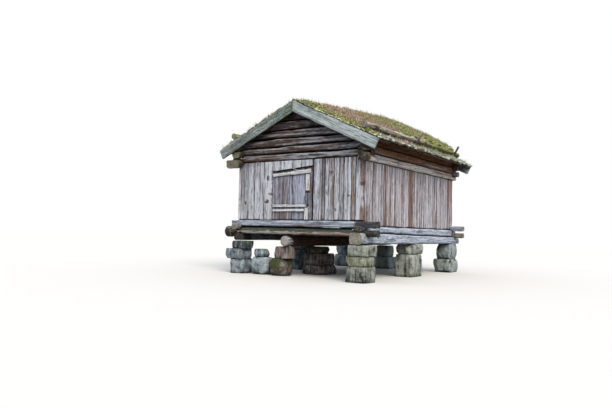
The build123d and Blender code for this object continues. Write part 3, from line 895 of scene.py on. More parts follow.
@dataclass(frozen=True)
class FieldStone:
    """Gneiss from the field: grey, in bands, with crusts of lichen and moss in its hollows."""

    name: str
    pale: str
    dark: str
    lichen: str
    moss: str
    lichen_share: float = 0.5
    moss_share: float = 0.5

    def material(self) -> bpy.types.Material:
        """Builds the finish.

        Returns:
            The material.
        """
        g = Graph(bpy.data.materials.new(self.name))
        place = g.add("ShaderNodeTexCoord").outputs["Object"]
        member = g.add("ShaderNodeAttribute", {"attribute_name": "member"})
        parts = g.add("ShaderNodeSeparateColor", None, member.outputs["Color"])
        light, warm, moss = parts.outputs["Green"], parts.outputs["Blue"], member.outputs["Alpha"]
        cloud = g.add("ShaderNodeTexNoise", None, place, 4.5, 6.0, 0.65)
        speck = g.add("ShaderNodeTexNoise", None, place, 70.0, 3.0, 0.7)
        flat = g.add("ShaderNodeVectorMath", MULTIPLY, place, (3.0, 3.0, 34.0))
        layers = g.add("ShaderNodeTexNoise", None, flat, 1.0, 3.0, 0.5)
        sum_a = g.add("ShaderNodeMath", MULTIPLY_ADD, speck, 0.4, cloud)
        sum_b = g.add("ShaderNodeMath", MULTIPLY_ADD, layers, 0.25, sum_a)
        # Where water runs down: dark streaks as wide as a finger
        streaked = g.add("ShaderNodeVectorMath", MULTIPLY, place, (17.0, 17.0, 1.6))
        drip = g.add("ShaderNodeTexNoise", None, streaked, 1.0, 3.0, 0.6)
        sum_c = g.add("ShaderNodeMath", MULTIPLY_ADD, drip, 0.95, sum_b)
        tone = g.add("ShaderNodeMath", MULTIPLY_ADD, light, 0.3, sum_c)
        tone = g.add("ShaderNodeMath", {"operation": "SUBTRACT"}, tone, 0.125)
        halved = g.add("ShaderNodeMath", MULTIPLY, tone, 0.5)
        colour = g.add("ShaderNodeValToRGB", {"stops": ((0.58, self.dark), (0.77, self.pale))}, halved)
        upright = g.add("ShaderNodeVectorMath", MULTIPLY, place, (8.0, 8.0, 3.0))
        crust = g.add("ShaderNodeTexNoise", None, upright, 1.0, 6.0, 0.68)
        crust_level = g.add("ShaderNodeMath", MULTIPLY_ADD, warm, 0.3, crust)
        bare, full = 0.78 - 0.4 * self.lichen_share, 0.98 - 0.4 * self.lichen_share
        crust_mask = g.add("ShaderNodeMapRange", SMOOTH, crust_level, bare, full, 0.0, 0.75)
        colour = g.add("ShaderNodeMix", BLEND, crust_mask, colour, linear(self.lichen))
        up = g.add("ShaderNodeSeparateXYZ", None, g.add("ShaderNodeNewGeometry").outputs["Normal"]).outputs["Z"]
        patch = g.add("ShaderNodeTexNoise", None, place, 5.0, 6.0, 0.66)
        moss_a = g.add("ShaderNodeMath", MULTIPLY_ADD, up, 0.2, patch)
        moss_b = g.add("ShaderNodeMath", MULTIPLY_ADD, moss, 0.45, moss_a)
        bare, full = 0.9 - 0.4 * self.moss_share, 1.02 - 0.4 * self.moss_share
        moss_mask = g.add("ShaderNodeMapRange", SMOOTH, moss_b, bare, full, 0.0, 0.9)
        tuft = g.add("ShaderNodeTexNoise", None, place, 120.0, 4.0, 0.7)
        green = g.add("ShaderNodeMix", DARKEN, 0.7, linear(self.moss), tuft)
        colour = g.add("ShaderNodeMix", BLEND, moss_mask, colour, green)
        # Painted shade: occlusion darkens the hollows of each stone and the joints between the stones
        hollow = g.add("ShaderNodeAmbientOcclusion", {"samples": 4}, None, 0.12)
        dirt_and_painted_shade = g.add("ShaderNodeMapRange", None, hollow.outputs["AO"], 0.25, 0.85, 0.15, 1.0)
        colour = g.add("ShaderNodeMix", DARKEN, 1.0, colour, dirt_and_painted_shade)
        relief_a = g.add("ShaderNodeMath", MULTIPLY_ADD, layers, 0.4, cloud)
        relief_b = g.add("ShaderNodeMath", MULTIPLY_ADD, speck, 0.35, relief_a)
        soft = g.add("ShaderNodeMath", MULTIPLY, moss_mask, tuft)
        height = g.add("ShaderNodeMath", MULTIPLY_ADD, soft, 0.8, relief_b)
        bump = g.add("ShaderNodeBump", None, Strength=1.0, Distance=0.016, Height=height)
        shader = g.add(
            "ShaderNodeBsdfPrincipled", None, Base_Color=colour, Normal=bump, Roughness=0.88, Specular_IOR_Level=0.3
        )
        g.add("ShaderNodeOutputMaterial", None, shader)
        return g.owner


@dataclass(frozen=True)
class Turf:
    """Moss cushions and withered heath on a roof: greens with patches of rust and straw."""

    name: str
    bright: str
    deep: str
    rust: str
    straw: str
    crust: str

    def material(self) -> bpy.types.Material:
        """Builds the finish.

        Returns:
            The material.
        """
        g = Graph(bpy.data.materials.new(self.name))
        place = g.add("ShaderNodeTexCoord").outputs["Object"]
        patch = g.add("ShaderNodeTexNoise", None, place, 2.6, 5.0, 0.62)
        cushion = g.add("ShaderNodeTexNoise", None, place, 17.0, 4.0, 0.6)
        leaf = g.add("ShaderNodeTexNoise", None, place, 90.0, 5.0, 0.75)
        green = g.add("ShaderNodeValToRGB", {"stops": ((0.38, self.deep), (0.62, self.bright))}, cushion)
        dry = g.add("ShaderNodeValToRGB", {"stops": ((0.36, self.rust), (0.64, self.straw))}, cushion)
        # Green along the front verge, rusty heath behind it, then both in patches
        along = g.add("ShaderNodeSeparateXYZ", None, place).outputs["Y"]
        heath = g.add("ShaderNodeMapRange", SMOOTH, along, -3.1, -2.2, -0.14, 0.07)
        later = g.add("ShaderNodeMapRange", SMOOTH, along, -1.2, 0.6, 0.0, -0.15)
        zoned = g.add("ShaderNodeMath", {"operation": "ADD"}, heath, later)
        varied = g.add("ShaderNodeMath", MULTIPLY_ADD, cushion, 0.3, patch)
        level = g.add("ShaderNodeMath", {"operation": "ADD"}, varied, zoned)
        mask = g.add("ShaderNodeMapRange", SMOOTH, level, 0.60, 0.72, 0.0, 1.0)
        colour = g.add("ShaderNodeMix", BLEND, mask, green, dry)
        # A whitish crust of lichen on the edge over the eaves
        across = g.add("ShaderNodeMath", {"operation": "ABSOLUTE"}, g.add("ShaderNodeSeparateXYZ", None, place))
        near_eave = g.add("ShaderNodeMapRange", None, across, 2.36, 2.48, 0.0, 0.42)
        crust_level = g.add("ShaderNodeMath", {"operation": "ADD"}, near_eave, cushion)
        crust_mask = g.add("ShaderNodeMapRange", SMOOTH, crust_level, 0.76, 0.86, 0.0, 0.9)
        colour = g.add("ShaderNodeMix", BLEND, crust_mask, colour, linear(self.crust))
        # Painted light and shade: fine noise lightens and darkens the turf as lit and self-shaded tufts
        shade = g.add("ShaderNodeMapRange", None, leaf, 0.3, 0.7, 0.45, 1.6)
        colour = g.add("ShaderNodeMix", DARKEN, 1.0, colour, shade)
        # Painted shade in the gaps between the cushions and the tufts, from noise and from occlusion
        clump = g.add("ShaderNodeTexNoise", None, place, 30.0, 3.0, 0.6)
        gap = g.add("ShaderNodeMapRange", None, clump, 0.36, 0.5, 0.5, 1.1)
        hollow = g.add("ShaderNodeAmbientOcclusion", {"samples": 4}, None, 0.05)
        depth = g.add("ShaderNodeMapRange", None, hollow.outputs["AO"], 0.2, 0.8, 0.45, 1.15)
        dark = g.add("ShaderNodeMath", MULTIPLY, gap, depth)
        colour = g.add("ShaderNodeMix", DARKEN, 1.0, colour, dark)
        height = g.add("ShaderNodeMath", MULTIPLY_ADD, cushion, 2.0, leaf)
        bump = g.add("ShaderNodeBump", None, Strength=1.0, Distance=0.02, Height=height)
        shader = g.add(
            "ShaderNodeBsdfPrincipled", None, Base_Color=colour, Normal=bump, Roughness=0.95, Specular_IOR_Level=0.15
        )
        g.add("ShaderNodeOutputMaterial", None, shader)
        return g.owner


@dataclass(frozen=True)
class BirchBark:
    """The bark sheets that keep a turf roof tight: white, with short dark lines."""

    name: str
    pale: str
    dark: str

    def material(self) -> bpy.types.Material:
        """Builds the finish.

        Returns:
            The material.
        """
        g = Graph(bpy.data.materials.new(self.name))
        place = g.add("ShaderNodeTexCoord").outputs["Object"]
        # Lines a finger long and a millimetre or two wide
        drawn = g.add("ShaderNodeVectorMath", MULTIPLY, place, (30.0, 260.0, 260.0))
        line = g.add("ShaderNodeTexNoise", None, drawn, 1.0, 2.0, 0.5)
        mask = g.add("ShaderNodeMapRange", None, line, 0.56, 0.66, 0.0, 0.8)
        worn = g.add("ShaderNodeTexNoise", None, place, 14.0, 5.0, 0.7)
        ground = g.add("ShaderNodeValToRGB", {"stops": ((0.35, self.dark), (0.55, self.pale))}, worn)
        colour = g.add("ShaderNodeMix", BLEND, mask, ground, linear("#3a3230"))
        shader = g.add("ShaderNodeBsdfPrincipled", None, Base_Color=colour, Roughness=0.7)
        g.add("ShaderNodeOutputMaterial", None, shader)
        return g.owner


SILVER_PLANK = WeatheredWood(
    "weathered_pine_plank", "#dfe3ee", "#a4a6b2", "#57545a", "#9a8070", base_moss=-0.06
)
ROSY_PLANK = WeatheredWood(
    "weathered_pine_side_plank", "#dad8e2", "#a29aa1", "#62585c", "#9c7b66", base_moss=-0.08
)
DOOR_PLANK = WeatheredWood(
    "weathered_pine_door", "#bfc5da", "#7c8092", "#3a3841", "#917b6b", base_moss=-0.3
)
PALE_LATH = WeatheredWood(
    "bleached_pine_lath", "#eef0f3", "#c6c7cc", "#736d70", "#9b8676", knots=0.5, base_moss=-0.1
)
BROWN_LOG = WeatheredWood(
    "weathered_pine_log", "#b6bac2", "#5f5754", "#231d1c", "#6b4a39", "#66662f", 34.0, relief_mm=8.0, seam_shade=0.5
)
GREY_LOG = WeatheredWood(
    "bleached_pine_log", "#ccd8ea", "#909bac", "#4b4c54", "#937b6a", "#9da158", 34.0, relief_mm=8.0
)
MOSSY_LOG = WeatheredWood(
    "algae_covered_pine_log", "#b2aeaa", "#6d6660", "#2b2c28", "#8c5f4b", "#4f5f50", 36.0, relief_mm=9.0
)
VERGE_BOARD = WeatheredWood(
    "algae_covered_pine_board",
    "#cbd6da",
    "#9cabac",
    "#71807c",
    "#82857a",
    knots=0.4,
    base_moss=-0.06,
    relief_mm=3.0,
    spots="#6f7f78",
    spot_share=0.34,
)
SPECKLED_BOARD = WeatheredWood(
    "lichen_covered_pine_board",
    "#b9c4c2",
    "#7f8e86",
    "#49584b",
    "#6b7462",
    knots=0.6,
    relief_mm=6.0,
    spots="#333c38",
)
# Painted light: paler than the wood's own colour, so that the logs in the shade of the right eave read lighter
EAVE_LOG = WeatheredWood(
    "pine_log_with_painted_light", "#fbf4f0", "#cbbab0", "#6b5244", "#b0743e", "#66662f", 34.0, relief_mm=8.0
)
TURF_LOG = WeatheredWood(
    "lichen_covered_pine_log", "#cfcfc2", "#8f8a7b", "#46433a", "#7f6448", "#93a23e", 34.0, relief_mm=8.0
)
ROOF_BOARD = WeatheredWood(
    "dark_brown_pine_board", "#7d6b5c", "#4c3c31", "#1f1815", "#7a4f33", base_moss=-0.06
)
LOG_END = EndGrain("pine_end_grain", "#b3ada8", "#332d28")
BOARD_END = EndGrain("pine_board_end", "#a79d97", "#3c3434")
GREEN_STONE = FieldStone("gneiss_with_algae", "#b4bab0", "#2a302c", "#a9ab7c", "#75803c", 0.4, 0.36)
BLUE_STONE = FieldStone("gneiss_boulder", "#b2c0c9", "#363e44", "#b5bfb4", "#56623a", 0.36, 0.36)
ROSY_STONE = FieldStone("granite_block", "#aa9d98", "#3c3533", "#b5b2a8", "#525c30", 0.25, 0.36)
BIRCH_BARK = BirchBark("birch_bark", "#e4e2df", "#a39a90")
TURF = Turf("moss_and_heath_turf", "#d6d892", "#68724a", "#a15f5f", "#e6dac0", "#ccd7cf")
TURF_ROOTS = Turf("withered_turf_roots", "#7d6f4e", "#2b2218", "#4c3424", "#93805c", "#766e56")


# The hut's parts


@dataclass(frozen=True)
class Viewpoint:
    """Where the photograph was taken from, fitted to the hut's straight edges."""

    position: Triple = (8.854, -15.313, 1.2)
    yaw_deg: float = 34.678
    pitch_deg: float = 2.684
    roll_deg: float = 1.343
    focal_px: float = 582.187
    image_width_px: float = 612.0

    def place(self) -> None:
        """Adds the camera."""
        yaw, pitch, roll = (math.radians(v) for v in (self.yaw_deg, self.pitch_deg, self.roll_deg))
        ahead = Vector((-math.sin(yaw) * math.cos(pitch), math.cos(yaw) * math.cos(pitch), math.sin(pitch)))
        level = Vector((math.cos(yaw), math.sin(yaw), 0.0))
        above = level.cross(ahead)
        right = level * math.cos(roll) + above * math.sin(roll)
        up = above * math.cos(roll) - level * math.sin(roll)
        data = bpy.data.cameras.new("camera")
        data.sensor_width = 36.0
        data.lens = self.focal_px / self.image_width_px * data.sensor_width
        camera = link_object("camera", data)
        turn = Matrix((right, up, -ahead)).transposed().to_4x4()
        camera.matrix_world = Matrix.Translation(self.position) @ turn
        bpy.context.scene.camera = camera


@dataclass(frozen=True)
class Studio:
    """A pale floor, soft light and a white background."""

    floor_size: float = 120.0
    sky_strength: float = 0.86
    sun_strength: float = 2.3
    sun_angle_deg: float = 35.0
    sun_turn_deg: Triple = (52.0, 0.0, 50.0)

    def build(self) -> None:
        """Adds the floor, the lamp and the world."""
        floor = blank("floor")
        with editing(floor):
            bpy.ops.mesh.primitive_plane_add(size=self.floor_size, location=(0.0, 0.0, 0.0))
        g = Graph(bpy.data.materials.new("pale_floor"))
        eye = g.add("ShaderNodeLightPath").outputs
        seen = g.add("ShaderNodeMath", {"operation": "MAXIMUM"}, eye["Is Camera Ray"], eye["Is Glossy Ray"])
        shade = g.add("ShaderNodeMix", BLEND, seen, linear("#4f4c45"), linear("#f2f0ec"))
        shader = g.add("ShaderNodeBsdfDiffuse", None, shade)
        g.add("ShaderNodeOutputMaterial", None, shader)
        floor.data.materials.append(g.owner)
        data = bpy.data.lights.new("sun", "SUN")
        data.energy = self.sun_strength
        data.angle = math.radians(self.sun_angle_deg)
        data.color = linear("#fff4e6")[:3]
        lamp = link_object("sun", data)
        lamp.rotation_euler = [math.radians(v) for v in self.sun_turn_deg]
        sky = Graph(bpy.data.worlds.new("sky"))
        bpy.context.scene.world = sky.owner
        eye = sky.add("ShaderNodeLightPath").outputs
        seen = sky.add("ShaderNodeMath", {"operation": "MAXIMUM"}, eye["Is Camera Ray"], eye["Is Glossy Ray"])
        seen = sky.add("ShaderNodeMath", {"operation": "MAXIMUM"}, seen, eye["Is Transmission Ray"])
        lighting = sky.add("ShaderNodeBackground", None, linear("#e9f0fa"), self.sky_strength)
        backdrop = sky.add("ShaderNodeBackground", None, linear("#ffffff"), 1.0)
        mix = sky.add("ShaderNodeMixShader", None, seen, lighting, backdrop)
        sky.add("ShaderNodeOutputWorld", None, mix)
        bpy.context.scene.view_settings.view_transform = "Standard"


@dataclass(frozen=True)
class Workshop:
    """The finished materials, each built once."""

    plank: bpy.types.Material
    rosy_plank: bpy.types.Material
    door: bpy.types.Material
    lath: bpy.types.Material
    brown_log: bpy.types.Material
    grey_log: bpy.types.Material
    mossy_log: bpy.types.Material
    eave_log: bpy.types.Material
    turf_log: bpy.types.Material
    verge: bpy.types.Material
    speckled: bpy.types.Material
    roof_board: bpy.types.Material
    log_end: bpy.types.Material
    board_end: bpy.types.Material
    green_stone: bpy.types.Material
    blue_stone: bpy.types.Material
    rosy_stone: bpy.types.Material
    turf: bpy.types.Material
    roots: bpy.types.Material
    bark: bpy.types.Material


@dataclass(frozen=True)
class PlankWalls:
    """The walls of upright planks, with the posts beside the doorway and in the corners."""

    shop: Workshop
    gap: float = 0.011
    foot: float = 1.48
    top: float = 3.05
    half_length: float = 2.918
    half_width: float = 1.998
    front_cell: float = 0.045
    hidden_cell: float = 0.14
    corner_post_width: float = 0.14
    corner_post_depth: float = 0.12
    # Where the planks of the front wall meet, left and right of the doorway, in metres from the middle
    front_left_joints: tuple[float, ...] = (-1.998, -1.902, -1.78, -1.649, -1.423, -1.231, -1.085)
    front_right_joints: tuple[float, ...] = (
        0.8, 0.883, 1.002, 1.156, 1.308, 1.439, 1.553, 1.653, 1.782, 1.998,
    )  # fmt: skip
    # Knots, holes and resin on the front: place across and up, reach, and how much lighter and warmer it is
    front_stains: tuple[tuple[float, float, float, float, float], ...] = (
        (-0.97, 1.97, 0.05, -1.8, 0.2),
        (-0.84, 2.18, 0.045, 0.4, 1.2),
        (-1.04, 2.55, 0.06, 0.7, -0.2),
        (-0.93, 2.62, 0.05, -1.2, 0.0),
        (1.97, 2.37, 0.05, -1.8, 0.2),
        (-1.72, 1.95, 0.04, -1.0, 0.0),
        (1.6, 2.1, 0.04, -1.2, 0.2),
        (1.22, 1.75, 0.04, -1.0, 0.3),
        (1.08, 2.7, 0.04, -1.0, 0.2),
    )
    # Where the planks of the right wall meet, from front to back
    right_joints: tuple[float, ...] = (
        -2.918, -2.62, -2.5, -2.4, -2.304, -2.16, -2.009, -1.90, -1.795, -1.70, -1.613, -1.50, -1.389,
        -1.25, -1.102, -0.965, -0.82, -0.685, -0.53, -0.375, -0.12, 0.01, 0.142, 0.25, 0.365, 0.52, 0.67,
        0.827, 0.98, 1.14, 1.31, 1.49, 1.662, 1.83, 2.0, 2.185, 2.37, 2.566, 2.74, 2.918,
    )  # fmt: skip

    def joints_between(self, low: float, high: float, chance: random.Random) -> tuple[float, ...]:
        """Spreads planks of natural width over a stretch.

        Args:
            low: Where the stretch starts.
            high: Where it ends.
            chance: The source of the widths.

        Returns:
            The joints, ends included.
        """
        places = [low]
        while places[-1] < high - 0.30:
            places.append(places[-1] + chance.uniform(0.13, 0.23))
        return (*places, high)

    def wall(
        self,
        node: str,
        joints: Sequence[float],
        across: Axis,
        tones: Sequence[Tone],
        seed: int,
        cell: float = 0.06,
    ) -> None:
        """Models one wall's planks in the room that its CAD slab takes.

        Args:
            node: The wall's CAD node.
            joints: Where its planks meet.
            across: The axis that the wall runs along.
            tones: The planks' tones, used in turn.
            seed: Makes this wall's wear its own.
            cell: Length of the pieces that each plank is cut into, in metres.
        """
        chance = random.Random(seed)
        low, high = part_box(node)
        other = Axis.Y if across is Axis.X else Axis.X
        outside = 1 if (low + high)[other.value] > 0 else -1
        boards = []
        for number, (start, end) in enumerate(zip(joints, joints[1:])):
            corner_a, corner_b = Vector(low), Vector(high)
            corner_a[across.value], corner_b[across.value] = start + self.gap / 2, end - self.gap / 2
            setback = chance.uniform(0.0, 0.014)
            if outside > 0:
                corner_b[other.value] -= setback
            else:
                corner_a[other.value] += setback
            corner_a.z += chance.uniform(0.0, 0.028)
            boards.append(Board(tuple(corner_a), tuple(corner_b), tones[number % len(tones)]))
        piece = lay_boards(f"{node}_planks", boards, Axis.Z, chance, cell)
        self.weather(piece, across, other, seed)
        retone(piece, self.fade_and_paint_eave_shade)
        if node.startswith("front"):
            retone(piece, self.stain_front)
        split_ends(piece, Axis.Z)
        finish = self.shop.plank if node.startswith("front") else self.shop.rosy_plank
        finish_piece(piece, "hut", [node], [finish, self.shop.board_end])

    def fade_and_paint_eave_shade(self, places: np.ndarray, member: np.ndarray) -> None:
        """Bleaches the planks' feet, paints the eaves' shade on their tops and stains the right front corner.

        Args:
            places: The vertices' places.
            member: Their tones, which are changed.
        """
        x, y, z = places.T
        share = (z - self.foot) / (self.top - self.foot)
        # Painted shade: darker towards the tops and darkest in the top tenth, under the eaves; lighter towards the
        # bleached feet
        member[:, 1] += 0.32 * (0.45 - share) - 0.3 * np.clip((share - 0.9) / 0.1, 0.0, 1.0)
        corner = (x > 1.9) & (y < -2.9)
        streak = np.maximum(np.clip((z - 2.1) / 0.4, 0.0, 1.0), np.clip((1.9 - z) / 0.25, 0.0, 1.0))
        member[corner, 2] += 0.6 * streak[corner]
        near = (x > 1.93) & (y < -2.62) & (y > -2.92)
        soaked = np.clip((2.0 - z) / 0.3, 0.0, 1.0)
        member[near, 1] -= 0.6 * soaked[near]
        member[near, 2] += 0.3 * soaked[near]

    def stain_front(self, places: np.ndarray, member: np.ndarray) -> None:
        """Marks the knots, holes and resin that show on the front.

        Args:
            places: The vertices' places.
            member: Their tones, which are changed.
        """
        for across, up, reach, light, warm in self.front_stains:
            near = np.hypot(places[:, 0] - across, places[:, 2] - up) < reach
            member[near, 1] += light
            member[near, 2] += warm

    def weather(self, piece: bpy.types.Object, across: Axis, other: Axis, seed: int) -> None:
        """Makes the planks' edges wander and their faces uneven.

        Args:
            piece: The planks.
            across: The axis that the wall runs along.
            other: The axis through the wall.
            seed: Makes this wall's wear its own.
        """
        low, high = corners(piece).min(0), corners(piece).max(0)
        roughen(piece, 0.09, 0.022, across.name, (1.0, 1.0, 5.0), seed=seed)
        roughen(piece, 0.05, 0.014, other.name, (1.0, 1.0, 9.0), seed=seed + 1)
        keep_within(piece, low, high)

    def build(self) -> None:
        """Models all the walls and posts."""
        chance = random.Random(4)
        left = (
            Tone(0.8, -0.2, 0.35), Tone(0.5, 0.0), Tone(0.5, 0.0), Tone(0.66, 0.0), Tone(0.74, -0.1),
            Tone(0.7, 0.0),
        )  # fmt: skip
        right = (
            Tone(0.3, 0.45), Tone(0.6, 0.05), Tone(0.45, 0.3), Tone(0.68, 0.1), Tone(0.4, 0.25),
            Tone(0.7, 0.05), Tone(0.8, 0.05), Tone(0.45, 0.45), Tone(0.95, 0.1),
        )  # fmt: skip
        self.wall("front_wall_left", self.front_left_joints, Axis.X, left, 11, self.front_cell)
        self.wall("front_wall_right", self.front_right_joints, Axis.X, right, 12, self.front_cell)
        side = [Tone(chance.uniform(0.35, 1.05), chance.uniform(-0.2, 0.55)) for _ in self.right_joints]
        side[19] = Tone(0.5, 1.1)
        side[0] = Tone(0.6, 0.15)
        side[1] = Tone(0.95, -0.2, 0.4)
        self.wall("right_wall", self.right_joints, Axis.Y, side, 13)
        hidden = [Tone(chance.uniform(0.4, 0.8), chance.uniform(0.15, 0.6)) for _ in range(40)]
        joints = self.joints_between(-self.half_length, self.half_length, chance)
        self.wall("left_wall", joints, Axis.Y, hidden, 14, self.hidden_cell)
        joints = self.joints_between(-self.half_width, self.half_width, chance)
        self.wall("rear_wall", joints, Axis.X, hidden[7:], 15, self.hidden_cell)
        self.posts(chance)

    def posts(self, chance: random.Random) -> None:
        """Models the corner posts and the thick posts beside the doorway.

        Args:
            chance: The source of each post's own number.
        """
        low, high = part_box("corner_posts")
        boards = []
        width, depth = self.corner_post_width, self.corner_post_depth
        for x in (low.x, high.x - width):
            for y in (low.y, high.y - depth):
                boards.append(Board((x, y, low.z), (x + width, y + depth, high.z), Tone(0.5, 0.7)))
        piece = lay_boards("corner_posts_hewn", boards, Axis.Z, chance, cell=0.08, edge=0.012)
        split_ends(piece, Axis.Z)
        finish_piece(piece, "hut", ["corner_posts"], [self.shop.brown_log, self.shop.board_end])
        low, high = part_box("door_posts")
        boards = [
            Board(tuple(low), (-0.8, high.y, high.z), Tone(0.75, 0.0)),
            Board((0.548, low.y, low.z), tuple(high), Tone(0.42, -0.1)),
            # The rebate strip beside the doorway, set back and toned dark as painted shade in the gap
            Board((0.505, low.y + 0.045, low.z), (0.546, high.y, high.z), Tone(0.1, 0.6)),
        ]
        piece = lay_boards("door_posts_hewn", boards, Axis.Z, chance, edge=0.012)
        roughen(piece, 0.12, 0.012, "Y", (1.0, 1.0, 6.0), middle=0.2, seed=5)
        roughen(piece, 0.3, 0.03, "X", (1.0, 1.0, 2.0), seed=6)
        keep_within(piece, low, high)
        retone(piece, self.stain_front)
        split_ends(piece, Axis.Z)
        finish_piece(piece, "hut", ["door_posts"], [self.shop.plank, self.shop.board_end])


@dataclass(frozen=True)
class LogWork:
    """All logs and beams, made from the shapes that the frame gives, with their notches."""

    shop: Workshop
    ledge_top: float = 1.185
    ledge_depth: float = 0.035
    # Heights at which the logs under the right eave meet
    eave_seams: tuple[float, float] = (3.17, 3.38)

    def build(self) -> None:
        """Models the logs of the base, the walls, the gables and the roof."""
        chance = random.Random(21)
        shop = self.shop
        mossy, brown, grey = shop.mossy_log, shop.brown_log, shop.grey_log
        plan: tuple[tuple[str, Axis, bpy.types.Material, Tone, float], ...] = (
            ("base_beam_right", Axis.Y, grey, Tone(0.9, 0.0, 0.05), 0.026),
            ("base_beam_left", Axis.Y, grey, Tone(0.6, 0.1, 0.3), 0.03),
            ("base_beam_middle", Axis.Y, brown, Tone(0.5, 0.3, 0.1), 0.026),
            ("side_sill_right", Axis.Y, grey, Tone(0.7, 0.05, 0.05), 0.024),
            ("side_sill_left", Axis.Y, grey, Tone(0.5, 0.4, 0.25), 0.03),
            ("front_sill_lower", Axis.X, mossy, Tone(0.5, 0.2, 0.35), 0.024),
            ("front_sill_upper", Axis.X, grey, Tone(0.62, 0.15, 0.05), 0.022),
            ("rear_sill_lower", Axis.X, mossy, Tone(0.5, 0.2, 0.3), 0.03),
            ("rear_sill_upper", Axis.X, grey, Tone(0.6, 0.2, 0.15), 0.03),
            # Painted light: the high light value, with the pale finish, lifts the logs in the shade of the right eave
            ("right_plate_logs", Axis.Y, shop.eave_log, Tone(1.4, 0.2, -0.1), 0.026),
            ("left_plate_logs", Axis.Y, brown, Tone(0.5, 0.3, 0.3), 0.03),
            ("front_lintel_log", Axis.X, brown, Tone(0.75, 0.3, 0.0), 0.022),
            ("front_gable_logs", Axis.X, brown, Tone(0.5, 0.35, 0.0), 0.024),
            ("rear_lintel_log", Axis.X, brown, Tone(0.6, 0.3, 0.1), 0.03),
            ("rear_gable_logs", Axis.X, brown, Tone(0.5, 0.35, 0.05), 0.03),
            ("ridge_beam", Axis.Y, brown, Tone(0.4, 0.4, 0.0), 0.03),
            ("purlins", Axis.Y, brown, Tone(0.4, 0.4, 0.0), 0.03),
            ("floor_joists", Axis.X, brown, Tone(0.4, 0.4, 0.0), 0.04),
            ("turf_log_right", Axis.Y, shop.turf_log, Tone(0.4, 0.1, 0.2), 0.02),
            ("turf_log_left", Axis.Y, shop.turf_log, Tone(0.4, 0.1, 0.2), 0.02),
        )
        for node, grain, finish, tone, voxel in plan:
            vary = random.Random(node)

            def tone_at(place: Vector) -> Tone:
                """Varies a log's tone a little from its fellows'.

                Args:
                    place: The log's centre; not used.

                Returns:
                    Its own tone.
                """
                light = tone.light + vary.uniform(-0.12, 0.12)
                return Tone(light, tone.warm + vary.uniform(-0.1, 0.1), tone.moss)

            wavy = 0.026 if "gable" in node or "lintel" in node else 0.014
            piece = hew(node, grain, chance, tone_at, voxel, wander=wavy, dents=wavy * 0.9)
            if node == "front_sill_lower":
                self.hew_ledge(piece)
            retone(piece, self.weather(node))
            split_ends(piece, grain)
            finish_piece(piece, "hut", [node], [finish, shop.log_end], smooth=60.0)

    def hew_ledge(self, piece: bpy.types.Object) -> None:
        """Cuts back the upper part of the lower sill's face, so that a ledge runs along its foot.

        Args:
            piece: The lower front sill.
        """
        places = corners(piece)
        x, y, z = places.T
        face = (y < -2.95) & (x > -2.15)
        depth = self.ledge_depth * np.clip((z - self.ledge_top) / 0.02, 0.0, 1.0)
        places[face, 1] += depth[face]
        move_corners(piece, places)

    def weather(self, node: str) -> Callable[[np.ndarray, np.ndarray], None]:
        """Gives what rain and moss did to one node's logs, and the shade painted on them, as the photograph shows it.

        Args:
            node: The CAD node.

        Returns:
            A function that changes the tones place by place.
        """

        def change(places: np.ndarray, member: np.ndarray) -> None:
            """Changes this node's tones.

            Args:
                places: The vertices' places.
                member: Their tones, which are changed.
            """
            x, y, z = places.T
            light, warm, moss = member[:, 1], member[:, 2], member[:, 3]
            front_end, right_end = y < -3.02, x > 2.03
            if node == "front_sill_lower":
                upper = z > self.ledge_top
                moss[upper], light[upper] = 0.75, -0.1
                moss[~upper], light[~upper], warm[~upper] = 0.0, 0.9, 0.25
                # Below the ledge darker and browner: brown wood, and painted shade under the ledge
                below = z < 1.115
                light[below], warm[below] = -0.5, 0.5
                knob = x < -2.15
                moss[knob], light[knob], warm[knob] = 0.7, 0.1, 0.1
                moss[right_end], light[right_end] = 0.5, -0.5
            elif node == "front_sill_upper":
                dark = np.clip((x - 1.76) / 0.07, 0.0, 1.0)
                moss += 0.32 * dark
                light -= 1.1 * dark
            elif node == "base_beam_right":
                near = y < -2.7
                moss[near], light[near] = 0.6, 0.8
                light[(y >= -2.7) & (y < -1.6)] -= 0.18
            elif node == "base_beam_left":
                near = y < -2.6
                # The front end mossy and dark: moss, and painted shade where it sits back under the sill
                moss[near], light[near] = 0.4, -0.6
            elif node == "side_sill_right":
                light[front_end], moss[front_end] = -0.4, 0.35
            elif node == "right_plate_logs":
                # Painted shade: the front ends darker and mossy, and the top course dark in the shade of the eave;
                # the second course warmer
                light[front_end], moss[front_end] = -0.5, 0.4
                second = np.clip((z - self.eave_seams[0]) / 0.02, 0.0, 1.0)
                third = np.clip((z - self.eave_seams[1]) / 0.02, 0.0, 1.0)
                warm += np.where(front_end, 0.0, 0.6 * second)
                light -= np.where(front_end, 0.0, 0.05 * second + 1.1 * third)
            elif node == "left_plate_logs":
                moss[front_end], light[front_end] = 0.75, 0.1
            elif node in ("front_lintel_log", "front_gable_logs"):
                # The right ends darker and mossy: dark end grain with painted shade under the eave; all the logs a
                # little darker, most towards the top
                light[right_end], moss[right_end] = -0.7, 0.3
                light -= 0.06 + 0.3 * np.clip((z - 3.7) / 0.6, 0.0, 1.0)
            elif node == "base_beam_middle":
                near = y < -2.86
                light[near], warm[near] = 1.1, 0.2
                light[~near], warm[~near] = 0.0, 0.9
            elif node.startswith("turf_log"):
                far = np.clip((y + 0.6) / 0.8, 0.0, 1.0)
                moss += 0.45 * far
                light -= 0.7 * far
                tip = (y < -2.2) & (x < 0.0)
                moss[tip], light[tip] = 0.85, 1.1

        return change


